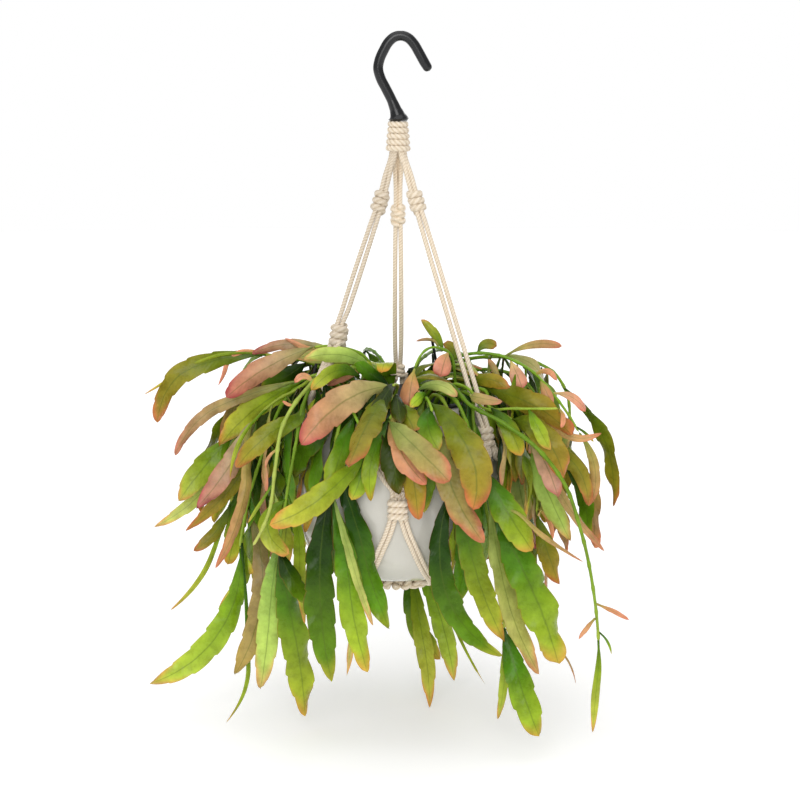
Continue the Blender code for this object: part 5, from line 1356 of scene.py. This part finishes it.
def closer_at_bends(fine, count):
    """A stem's places, closer together where it bends over the rim than further on."""
    bends = np.linalg.norm(np.diff(unit(np.diff(fine, axis=0)), axis=0), axis=1)
    weight = np.concatenate([[0.0], 0.02 + np.concatenate([[0.0], bends]) * 0.35])
    at = np.cumsum(weight)
    return np.stack([np.interp(np.linspace(0, at[-1], count), at, fine[:, k]) for k in range(3)], axis=1)


def root_on(stem, made, taken):
    """The place along a stem's middle where a leaf springs, at least ROOT_PITCH from those taken."""
    fine = evenly(stem, 120)
    far = np.linalg.norm(fine - np.array(made.places[0]), axis=1)
    for other in taken:
        far += 1000 * (np.linalg.norm(fine - other, axis=1) < ROOT_PITCH)
    far[:20] += 1000
    return fine[np.argmin(far)]


def leaf_line(made, start, push):
    """The middle of a leaf, from inside its stem to its tip. Pushes grow from nothing at the root."""
    root = np.array(made.places[0])
    last = len(made.places) - 1
    pairs = enumerate(zip(made.places, made.pushes, strict=True))
    places = [place + way * push * (i / last) for i, (place, way) in pairs]
    if np.linalg.norm(start - root) < 9:
        places = places[1:]
    return smooth([start, *places], 24)


# %% Bending leaves and stems clear
# What is tried for a leaf's tip, its turn and a stem, in this order
SHIFTS = [0] + [sign * step for step in range(4, 61, 4) for sign in (1, -1)]
TURNS = (0.22, -0.22, 0.0, 0.5, -0.5)
STEM_SHIFTS = [(push, lift) for push in range(-30, 31, 3) for lift in (0, 4, 8, 12)]
STEM_SHIFTS.sort(key=lambda shift: abs(shift[0]) + 1.5 * shift[1])


def plan_plant():
    """Every spray's stem line, and each leaf's line and turn, bent clear of the other sprays."""
    room = fill_room()
    sprays = SEEN_SPRAYS + back_sprays()
    stems = {}
    for made in sprays:
        for push, lift in STEM_SHIFTS:
            line = stem_line(made, push, lift)
            grown = tube(line, [made.radius + CLEARANCE] * len(line), STEM_SIDES)
            blocked = room.blocked(made.name, *grown)
            if blocked is None:
                break
        else:
            print("stem of", made.name, "crosses", blocked)
        stems[made.name] = line
        room.add(made.name, *tube(line, [made.radius] * len(line), STEM_SIDES))
    own_room = Room()
    roots = {made.name: [] for made in sprays}
    leaves = {made.name: [] for made in sprays}
    order = [(made, part) for made in sprays for part in made.leaves]
    order.sort(key=lambda pair: pair[0].name.startswith("spray_back"))
    for made, part in order:
        start = root_on(stems[made.name], part, roots[made.name])
        roots[made.name].append(start)
        found = place_leaf(room, own_room, made, part, start)
        if found is None:
            print("no room for", made.name, part.name)
            continue
        leaves[made.name].append((part, *found))
        verts, faces = blade(part, *found)
        room.add(made.name, verts, faces)
        own_room.add(made.name, verts, past_root(faces, len(verts) // 2))
    return sprays, stems, leaves, room, own_room


def place_leaf(room, own_room, made, part, start):
    """The first line and turn that keep a leaf clear of the other sprays, and if it can be of the other
    leaves of its own spray past their roots. None if there is no room for it."""
    found = None
    for push in SHIFTS:
        line = leaf_line(part, start, push)
        for turn in TURNS if push % 8 == 0 else TURNS[:1]:
            verts, faces = blade(part, line, turn, CLEARANCE)
            if room.blocked(made.name, verts, faces):
                continue
            if not own_room.blocked(made.name, verts, past_root(faces, len(verts) // 2), own=True):
                return line, turn
            found = found or (line, turn)
        if found and abs(push) > 28:
            break
    return found


def past_root(faces, n):
    """The faces of a blade that lie past its root."""
    return [face for face in faces if min(i % n for i in face) > 1]


sprays, stems, leaves, room, own_room = plan_plant()
print(sum(len(found) for found in leaves.values()), "leaves on", len(sprays), "stems")

# %% [markdown]
# ## The plant's skin
#
# A flat stem is green near its root, where it is old, and lime to coral at its tip, where it is young. Sun
# turns the whole segment olive or rose, and the edge is always a thin reddish line. The colour along each
# leaf is painted on its corners, and leaves in the crown's shadow and leaves close to the pot get darker
# colours, which are painted shade. The material adds the midrib, faint side veins, the red edge and soft
# blotches.

# %% Skin
# A waxy skin over wet flesh gives soft satin lights that break up over small dents, and a little of the light
# goes in and comes out green.
skin, shader = new_material("waxy plant skin", IOR=1.42, Specular_IOR_Level=0.21, Subsurface_Weight=0.05,
                            Subsurface_Radius=(0.6, 1.0, 0.2), Subsurface_Scale=0.002)
tint = add(skin, "Attribute", {"attribute_name": "Tint"})
spot = add(skin, "UVMap", {"uv_map": "Skin"})
across = add(skin, "SeparateXYZ", (), {"Vector": spot.outputs["UV"]})
place = add(skin, "TexCoord")
from_rib = add(skin, "Math", {"operation": "SUBTRACT", 1: 0.5}, {0: across.outputs["X"]})
from_rib = add(skin, "Math", {"operation": "ABSOLUTE"}, {0: from_rib.outputs[0]})
blotch = add(skin, "TexNoise", {"Scale": 1 / (11 * MM), "Detail": 4.0, "Roughness": 0.6},
             {"Vector": place.outputs["Object"]})
mottle = add(skin, "MapRange", {"From Min": 0.3, "From Max": 0.7, "To Min": 0.76, "To Max": 1.18},
             {"Value": blotch.outputs["Fac"]})
base = add(skin, "VectorMath", {"operation": "SCALE"},
           {"Vector": tint.outputs["Color"], "Scale": mottle.outputs["Result"]})
rib = add(skin, "MapRange", {"From Min": 0.0, "From Max": 0.045, "To Min": 0.55, "To Max": 0.0},
          {"Value": from_rib.outputs[0]})
with_rib = add(skin, "Mix", {"data_type": "RGBA", 7: linear("#4A5E1A")},
               {"Factor": rib.outputs["Result"], 6: base.outputs["Vector"]})
edge = add(skin, "MapRange", {"From Min": 0.47, "From Max": 0.5, "To Min": 0.0, "To Max": 0.4},
           {"Value": from_rib.outputs[0]})
with_edge = add(skin, "Mix", {"data_type": "RGBA", 7: linear("#9A4E2C")},
                {"Factor": edge.outputs["Result"], 6: with_rib.outputs[2]})

# %% Gloss and veins
VEIN_MM = 6.5  # between two side veins, which leave the midrib at a slant
gloss = add(skin, "MapRange", {"From Min": 0.3, "From Max": 0.7, "To Min": 0.22, "To Max": 0.38},
            {"Value": blotch.outputs["Fac"]})
dents = add(skin, "TexNoise", {"Scale": 1 / (7 * MM), "Detail": 3.0, "Roughness": 0.45},
            {"Vector": place.outputs["Object"]})
slant = add(skin, "Math", {"operation": "MULTIPLY_ADD", 1: -0.03},
            {0: from_rib.outputs[0], 2: across.outputs["Y"]})
slant = add(skin, "Math", {"operation": "MULTIPLY", 1: 2 * math.pi / (VEIN_MM * MM)},
            {0: slant.outputs[0]})
vein = add(skin, "Math", {"operation": "SINE"}, {0: slant.outputs[0]})
height = add(skin, "Math", {"operation": "MULTIPLY_ADD", 1: 0.04},
             {0: vein.outputs[0], 2: dents.outputs["Fac"]})
bump = add(skin, "Bump", {"Strength": 0.6, "Distance": 0.0013}, {"Height": height.outputs[0]})
join(skin, shader, {"Base Color": with_edge.outputs[2], "Roughness": gloss.outputs["Result"],
                    "Normal": bump.outputs["Normal"]})
print(skin.name)

# %% Colours of the plant
KIND_COLOURS = {  # at the root, in the middle, near the tip and at the tip
    # painted shade: the shade kind is the dark greens painted darker still, for leaves in the crown's shadow
    "shade": ("#0C1A02", "#26360A", "#3E4A0E", "#5C521A"),
    "dark": ("#0E2402", "#224204", "#608A16", "#A6A434"),
    "green": ("#1A3A04", "#4E780E", "#9CAC2C", "#C8983E"),
    "lime": ("#426A0C", "#7E981C", "#B0B83E", "#CE964A"),
    "pale": ("#628234", "#92A84C", "#B6C05E", "#D2A062"),
    "olive": ("#3A580A", "#687614", "#968628", "#B46C3A"),
    "bronze": ("#5C6A2E", "#8E8250", "#A89C54", "#B6A450"),
    "rose": ("#7C8E44", "#B29E70", "#BC8264", "#B05852"),
    "blush": ("#6E863A", "#9C9C52", "#B09656", "#C47A52"),
    "tan": ("#748A34", "#A49450", "#B88C5C", "#C67C5A"),
    "coral": ("#9CA044", "#CA9262", "#D89270", "#D87E62"),
    "pink": ("#B0A858", "#D2A07C", "#DA967E", "#DC806C"),
}
STEM_COLOURS = ("#46640F", "#66881E", "#86A430", "#A2B444")
WHIP_COLOURS = ("#5A7C22", "#8CA83E", "#A8BE54", "#B8C660")
COLOUR_SHARES = (0.0, 0.4, 0.88, 1.02)


def own_colours(colours, draw, spread=0.1):
    """A leaf's four colours, with a small shift of its own."""
    shift = np.array([draw.uniform(-spread, spread) for _ in range(3)]) + draw.uniform(-spread, spread) + 1
    return np.array([linear(c)[:3] for c in colours]) * shift


def ramp(colours, share):
    """The colour at each share of a leaf's length."""
    return np.stack([np.interp(share, COLOUR_SHARES, colours[:, k]) for k in range(3)], axis=1)


print(len(KIND_COLOURS), "kinds of leaf")

# %% [markdown]
# ## Leaves and stems
#
# A leaf is a grid wrapped round its line with a flat, lens-shaped section: thick at the midrib and thin at
# the edge. The two halves fold up from the midrib, the edges wave, and the whole leaf turns a little along
# its length. The edge swells between two notches and steps in at each, on one side and then on the other.

# %% One leaf
LEAF_STEP_MM = 2.0
TOOTH_PITCH_MM = 23
LEAF_SIDES = 14
EDGE_RIPENS = {"dark": 0.05, "green": 0.08, "blush": 0.26}  # how far an edge's colour leads the midrib's
OTHERS_RIPEN = 0.15


def outline(share, long, shape, round_tip, phase):
    """The half width along one edge, from 0 to 1, with steps that point towards the tip."""
    peak, blunt = {"lance": (0.55, 2.4), "spoon": (0.66, 2.6), "ribbon": (0.6, 1.5)}[shape]
    past_stalk = np.clip((share - 0.04) / 0.96, 0, 1)
    rise = np.sin(np.clip(past_stalk / peak, 0, 1) * np.pi / 2) ** (1.15 if shape == "spoon" else 0.8)
    fall = (1 - np.clip((past_stalk - peak) / (1 - peak), 0, 1) ** blunt) ** round_tip
    if shape != "lance":
        return rise * fall
    teeth = max(2, round(long / TOOTH_PITCH_MM))
    past_notch = (share * teeth + phase) % 1.0
    inside = np.clip((share - 0.12) / 0.15, 0, 1) * (share < 0.985)
    return rise * fall * (1 - 0.15 * (1 - past_notch) ** 2.2 * inside)


def flat_stem(bm, made, line, turn, draw, colours=None):
    """Makes one leaf along its line, turned about it."""
    long = length_of(line)
    rows = int(min(90, max(12, long / LEAF_STEP_MM)))
    centre = smooth(line[::2] if len(line) % 2 else np.vstack([line[:-1:2], line[-1:]]), rows + 1)
    share = np.linspace(0, 1, rows + 1)
    tangent = unit(np.gradient(centre, axis=0))
    across = unit(np.cross(tangent, facing_of(made)))
    normal = np.cross(across, tangent)
    sway = draw.uniform(0.1, 0.3) * np.sin(draw.uniform(0, 6.28) + share * draw.uniform(3, 6)) * share
    turns = (turn * (0.35 + 0.65 * share) + sway)[:, None]
    across, normal = turned_about(across, normal, turns)
    phase, round_tip = draw.random(), draw.choice((0.5, 0.62, 0.8))
    widths = [0.5 * made.width * outline(share, long, made.shape, round_tip, p) for p in (phase, phase + 0.5)]
    stalk = min(1.1, 0.35 * made.width)
    widths = [np.maximum(w, stalk * (share < 0.9)) for w in widths]
    for w in widths:
        w[[0, -1]] = 0
    flat_share = np.clip(widths[0] / (0.5 * made.width), 0, 1)
    thick = np.where(share < 0.12, 1.1, 0.5 + 0.35 * flat_share) * min(1, made.width / 8 + 0.35)
    thick[[0, -1]] = 0
    fold = draw.uniform(-0.08, 0.4) * np.clip(share * 4, 0, 1)
    waves = [(long / draw.uniform(34, 60), draw.uniform(0, 6.28), draw.uniform(0.05, 0.12)) for _ in range(4)]
    ripples = []
    for near, far in (waves[:2], waves[2:]):
        both = [size * np.sin(2 * np.pi * count * share + start) for count, start, size in (near, far)]
        ripples.append(sum(both) * made.width * np.clip(share * 3, 0, 1))
    own = own_colours(KIND_COLOURS[made.kind], draw) if colours is None else colours
    ripening = EDGE_RIPENS.get(made.kind, OTHERS_RIPEN)

    def section(turn, row):
        a, b = np.cos(turn), np.sin(turn)
        wide = np.where(a > 0, widths[0][row], widths[1][row])
        ripple = np.where(a > 0, ripples[0][row], ripples[1][row]) * np.abs(a) ** 1.8
        ridge = 0.28 * (np.abs(a) < 0.01) * np.sign(b) * (wide > 2)
        return a * wide, b * thick[row] + ridge - fold[row] * wide * np.abs(a) ** 1.3 + ripple

    def tint(turn, row):
        ripe = share[row] + ripening * np.cos(turn) ** 2 * np.clip(share[row] * 2, 0, 1)
        # the underside's colour is 6 percent darker than the face's
        under = np.where(np.sin(turn) < 0, 0.94, 1.0)[:, None]
        return ramp(own, ripe) * under

    def spot(turn, row):
        return np.stack([0.5 + 0.5 * np.cos(turn), share[row] * long * MM], axis=1)

    sweep(bm, centre, across, normal, LEAF_SIDES, section, tint, spot)


# %% One stem
def beside_rib(step):
    """A map for stems and stalks, which keeps them off the midrib and the red edge."""
    return lambda turn, row: np.stack([0.6 + 0.02 * np.cos(turn), row * step], axis=1)


def round_stem(bm, made, line, draw):
    """Makes the stem that a spray's leaves spring from, with a small swelling at each joint."""
    rows = int(length_of(line) / 2.5)
    centre = smooth(line, rows + 1)
    share = np.linspace(0, 1, rows + 1)
    from_joint = (share * length_of(line) / draw.uniform(17, 24) + draw.random()) % 1 - 0.5
    joints = 1 + 0.35 * np.exp(-((from_joint * 9) ** 2))
    radii = 0.85 * made.radius * np.interp(share, [0, 0.5, 1], [1, 1, 0.72]) * joints
    radii[[0, -1]] = 0
    own = WHIP_COLOURS if made.name == "spray_left_whip" else STEM_COLOURS
    round_bar(bm, centre, radii, 10, ramp(own_colours(own, draw), share), beside_rib(0.2 / rows))


# %% [markdown]
# ## Leaves between the long ones
#
# A grown plant also has shorter, shaded segments between the long ones. Some spring from its stems, some
# stand in the soil, hide the rim and hug the pot. They are tried at seeded places, one by one. Those are kept
# that clear all that is there already, and that stand before nothing that the photograph shows.

# %% What the photograph shows stays in view
def in_view(places):
    """Where places stand in the photograph's view: across and up, over their distance, and the distance."""
    rel = np.array(places, float) - np.array(VIEW_PLACE)
    away = rel @ -np.array(VIEW_BACK)
    return np.stack([rel[:, 0] / away, rel @ np.array(VIEW_UP) / away, away], axis=1)


def seen_places():
    """Places on the seen leaves past their roots, on the stems, the hanger and the pot's open front."""
    near, found = np.array(VIEW_BACK), []
    for made in sprays:
        if not made.name.startswith("spray_back"):
            found += [p + 3 * near for _, line, _ in leaves[made.name] for p in line[8::3]]
            found += [p + 4 * near for p in evenly(stems[made.name], 40)[16::2]]
    for made in LEGS.values():
        heights = range(-160, int(made.lower_knot[1]) - 12, -5)
        found += [leg_axis(made, z) + Vector(10 * near) for z in heights]
    found += [beside_pot(bearing, z, 3) for bearing in range(-24, 25, 6) for z in range(-395, -475, -8)]
    return [Vector(p) for p in found]


def shown_of(places):
    """Those of the places that nothing hides so far."""
    return [p for p in places if all(tree.ray_cast(p, VIEW_PLACE - p)[0] is None for *_, tree in room.held)]


seen_now = shown_of(seen_places())
seen_flat = in_view(seen_now)
print(len(seen_now), "places are seen")


def hides(verts, faces):
    """Whether a body would stand before a seen place."""
    flat = in_view(verts)
    low, high = flat.min(0), flat.max(0)
    within = (seen_flat[:, :2] > low[:2]).all(1) & (seen_flat[:, :2] < high[:2]).all(1)
    behind = [seen_now[i] for i in np.flatnonzero(within & (seen_flat[:, 2] > low[2]))]
    if not behind:
        return False
    tree = BVHTree.FromPolygons(verts.tolist(), faces)
    return any(tree.ray_cast(p, VIEW_PLACE - p)[0] is not None for p in behind)


# %% Leaves that spring from the stems
SIDE_KINDS = ("dark", "green", "green", "lime", "olive", "dark", "tan", "pale", "rose")
POT_KINDS = ("dark", "dark", "green", "dark")


def side_leaf(draw, beyond, number):
    """A leaf that springs from one of these places of a stem and hangs, with its face outwards."""
    root = Vector(beyond[draw.randrange(len(beyond))])
    out = Vector((root.x, root.y, 0)).normalized()
    across = Vector((-out.y, out.x, 0))
    long = draw.uniform(50, 125)
    lean, spread = draw.uniform(-0.1, 0.42), draw.uniform(-0.5, 0.5)
    sag = Vector((0, 0, draw.uniform(0.1, 0.42)))
    middle = root + (out * lean * 0.8 + across * spread * 0.6 - sag) * long
    tip = root + (out * lean + across * spread - Vector((0, 0, 0.92))) * long
    kind = draw.choice(SIDE_KINDS)
    return Leaf(f"side_{number}", kind, draw.uniform(14, 25), [root, middle, tip], [out] * 3)


def pot_leaf(draw, by_pot, number):
    """A shaded leaf that springs close to the rim and hangs flat on the pot."""
    root = Vector(by_pot[draw.randrange(len(by_pot))])
    bearing = math.degrees(math.atan2(root.x, -root.y))
    drift = draw.uniform(-16, 16)
    tip_z = root.z - draw.uniform(60, 165)
    places = [root, beside_pot(bearing + 0.6 * drift, 0.5 * (root.z + tip_z), draw.uniform(5, 18))]
    places.append(beside_pot(bearing + drift, tip_z, draw.uniform(5, 24)))
    kind = draw.choice(POT_KINDS)
    return Leaf(f"pot_{number}", kind, draw.uniform(15, 25), places, [around(1, bearing + drift, 0)] * 3)


# %% Trying leaves on the stems
SIDE_TRIES = 90  # on each stem
SIDE_MOST = 9  # that one stem keeps
FRONT_BEARING = 56  # up to here, all leaves hug the pot
HALF_LEAF = 9  # kept inside the solids' box, beside a leaf's line
AIRY_X = (-158, 138)  # further to the left and right the plant is open
LOWEST_MORE_Z = -505
PAST_RIM, BY_POT = 78, 112  # a stem hangs by the pot between these radii
MORE_CLEARANCE = 0.3


def inside_plant(line):
    """Whether a leaf on this line stays in the solids' box, off the open sides and over the lowest tips."""
    box_low, box_high = (np.array(corner) / MM for corner in cad_box)
    low, high = line.min(0), line.max(0)
    if (low - HALF_LEAF < box_low).any() or (high + HALF_LEAF > box_high).any():
        return False
    return low[0] >= AIRY_X[0] and high[0] <= AIRY_X[1] and line[-1][2] >= LOWEST_MORE_Z


def more_leaves(owner, draw):
    """The leaves that find room on a stem, each with its line and turn."""
    fine = evenly(stems[owner.name], 90)
    radius = np.hypot(fine[:, 0], fine[:, 1])
    by_pot, beyond = fine[(radius > PAST_RIM) & (radius < BY_POT)], fine[radius > PAST_RIM]
    kept = []
    for number in range(SIDE_TRIES if len(by_pot) >= 5 else 0):
        hugs = abs(owner.bearing) < FRONT_BEARING or number % 3 == 0
        made = pot_leaf(draw, by_pot, number) if hugs else side_leaf(draw, beyond, number)
        line, turn = smooth(made.places, 24), draw.uniform(-0.3, 0.3)
        if not inside_plant(line):
            continue
        verts, faces = blade(made, line, turn, MORE_CLEARANCE)
        far = past_root(faces, len(verts) // 2)
        if room.blocked(owner.name, verts, faces) or own_room.blocked(owner.name, verts, far, own=True):
            continue
        if hides(verts, faces):
            continue
        room.add(owner.name, *blade(made, line, turn))
        own_room.add(owner.name, verts, far)
        kept.append((made, line, turn))
        if len(kept) == SIDE_MOST:
            break
    return kept


draw = random.Random("between the long ones")
more = {owner.name: more_leaves(owner, draw) for owner in sprays}
for name, kept in more.items():
    leaves[name] += kept
print(sum(len(kept) for kept in more.values()), "more leaves on the stems")

# %% Leaves that stand in the soil
CLOSE_KINDS = ("dark", "dark", "green", "dark", "olive", "green", "lime")
CROWN_KINDS = ("green", "olive", "pale", "green", "lime", "green", "dark", "olive")


def close_leaf(draw, number):
    """A leaf that crosses the rim and hangs close to the pot, and the lines of its stalk and its middle."""
    bearing = draw.uniform(-180, 180)
    over_z = draw.uniform(-316, -298)
    drift = draw.uniform(-14, 14)
    reach = draw.uniform(4, 34)
    tip_z = draw.uniform(-345, -520)
    stalk = [around(draw.uniform(38, 60), bearing, SOIL_TOP_Z - 2), around(60, bearing, -330)]
    stalk += [around(68, bearing, over_z), around(76, bearing, over_z)]
    places = [stalk[-1], around(86 + 0.3 * reach, bearing + 0.2 * drift, over_z - 7)]
    for share in (0.5, 1.0):
        z = over_z - 7 + (tip_z - over_z + 7) * share
        places.append(beside_pot(bearing + drift * (0.2 + 0.8 * share), z, 4 + reach * (0.6 + 0.4 * share)))
    kind = draw.choice(CLOSE_KINDS)
    out = around(1, bearing + drift, 0)
    made = Leaf(f"close_{number}", kind, draw.uniform(13, 27), places, [out] * 4)
    return made, smooth(stalk, 14), smooth(places, 24)


def crown_leaf(draw, number):
    """A leaf that stands in the soil and arches outwards over the crown, with the same two lines."""
    bearing = draw.uniform(-180, 180)
    root = draw.uniform(6, 48)
    long = draw.uniform(34, 80)
    rise = draw.uniform(-318, -276)
    drift = draw.uniform(-25, 25)
    stalk = [around(root, bearing, SOIL_TOP_Z - 2), around(root + 2, bearing, 0.5 * (SOIL_TOP_Z + rise))]
    places = [stalk[-1], around(root + 0.2 * long, bearing, rise - 5)]
    places.append(around(root + 0.6 * long, bearing + 0.5 * drift, rise))
    places.append(around(root + long, bearing + drift, rise - draw.uniform(4, 26)))
    push = around(0.35, bearing, 0) + Vector((0, 0, 1))
    made = Leaf(f"crown_{number}", draw.choice(CROWN_KINDS), draw.uniform(11, 21), places, [push] * 4)
    return made, smooth(stalk, 5), smooth(places, 24)


def standing(made, push):
    """The lines of the stalk and the middle of a leaf read from the photograph, moved nearer by push."""
    places = [place + way * push for place, way in zip(made.places, made.pushes)]
    foot = around(36, math.degrees(math.atan2(places[0].x, -places[0].y)), SOIL_TOP_Z - 2)
    return smooth([foot, 0.5 * (foot + places[0]) + Vector((0, 0, 12)), places[0]], 8), smooth(places, 24)


# %% The crown's leaves that the photograph shows
CROWN_SHOWN = (
    leaf("young_pale_front", "pale", 15, (372, 364, 40), (342, 350, 56), (302, 354, 62)),
    leaf("green_front", "green", 13, (360, 372, 48), (336, 366, 66), (310, 386, 76)),
    leaf("crown_left", "dark", 13, (392, 386, 10), (372, 370, 14), (351, 354, 16)),
    leaf("crown_behind", "green", 12, (404, 388, 0), (418, 375, -6), (437, 369, -10)),
    leaf("crown_pale", "pale", 11, (418, 386, 34), (438, 380, 44), (458, 392, 50)),
    leaf("crown_right", "green", 14, (402, 392, 44), (414, 389, 54), (430, 403, 62)),
    leaf("crown_front", "shade", 15, (396, 390, 50), (398, 400, 66), (401, 420, 76)),
    leaf("crown_corner", "green", 13, (388, 392, 44), (378, 400, 62), (372, 418, 72)),
)
SHOWN_TURN = 0.1
STALK_ROOM = 1.3  # kept round the line of a stalk
SHADED_CLEARANCE = 0.2
shaded = []


def stalk_body(stalk):
    return tube(stalk, [STALK_ROOM] * len(stalk), 5)


def keep_standing(made, stalk, line, turn):
    """Gives a leaf and its stalk their room."""
    room.add("shaded", *stalk_body(stalk))
    room.add("shaded", *blade(made, line, turn))
    shaded.append((made, stalk, line, turn))


for made in CROWN_SHOWN:
    for push in range(0, 40, 2):
        stalk, line = standing(made, push)
        bodies = stalk_body(stalk), blade(made, line, SHOWN_TURN, SHADED_CLEARANCE)
        if not any(room.blocked("shaded", *body) for body in bodies):
            keep_standing(made, stalk, line, SHOWN_TURN)
            break
print(len(shaded), "leaves of", len(CROWN_SHOWN), "found room in the crown")

# %% Trying more leaves from the soil
SOIL_TRIES = 2600
CROWN_TOP = 40  # mm over the middle of the view
for number in range(SOIL_TRIES):
    in_crown = number % 2 == 0
    made, stalk, line = (crown_leaf if in_crown else close_leaf)(draw, number)
    turn = draw.uniform(-0.25, 0.25)
    if room.blocked("shaded", *stalk_body(stalk)):
        continue
    verts, faces = blade(made, line, turn, SHADED_CLEARANCE)
    far = past_root(faces, len(verts) // 2)
    if room.blocked("shaded", verts, faces) or room.blocked("shaded", verts, far, own=True):
        continue
    too_high = in_crown and in_view(verts)[:, 1].max() * VIEW_DISTANCE > CROWN_TOP
    if not too_high and not hides(verts, faces):
        keep_standing(made, stalk, line, turn)
print(len(shaded), "leaves stand in the soil")

# %% Making every spray
for made in sprays:
    draw = random.Random("looks of " + made.name)
    bm = start_mesh()
    round_stem(bm, made, stems[made.name], draw)
    for part, line, turn in leaves[made.name]:
        flat_stem(bm, part, line, turn, draw)
    finish_piece(bm, made.name + "_leaves", skin, sharp=55, node=made.name)

# %% Making the shaded leaves
STALK_RADIUS = 1.1
CLOSE_PAINTED_SHADE = 0.8  # painted shade: the leaves close to the pot, under the others, are painted darker
bm = start_mesh()
for made, stalk, line, turn in shaded:
    # painted shade: the colours of the leaves close to the pot are scaled darker
    shade = CLOSE_PAINTED_SHADE if made.name.startswith("close") else 1
    colours = own_colours(KIND_COLOURS[made.kind], draw) * shade
    thin = np.array([0, *[STALK_RADIUS] * (len(stalk) - 2), 0])
    round_bar(bm, stalk, thin, 8, np.tile(colours[0], (len(stalk), 1)), beside_rib(0.003))
    flat_stem(bm, made, line, turn, draw, colours)
finish_piece(bm, "shaded_leaves", skin, sharp=55)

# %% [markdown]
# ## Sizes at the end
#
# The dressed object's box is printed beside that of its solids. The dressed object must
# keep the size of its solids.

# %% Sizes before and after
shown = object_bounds()
for label, (low, high) in (("cad", cad_box), ("visual", shown)):
    print(label, [round(x, 4) for x in low], [round(x, 4) for x in high])
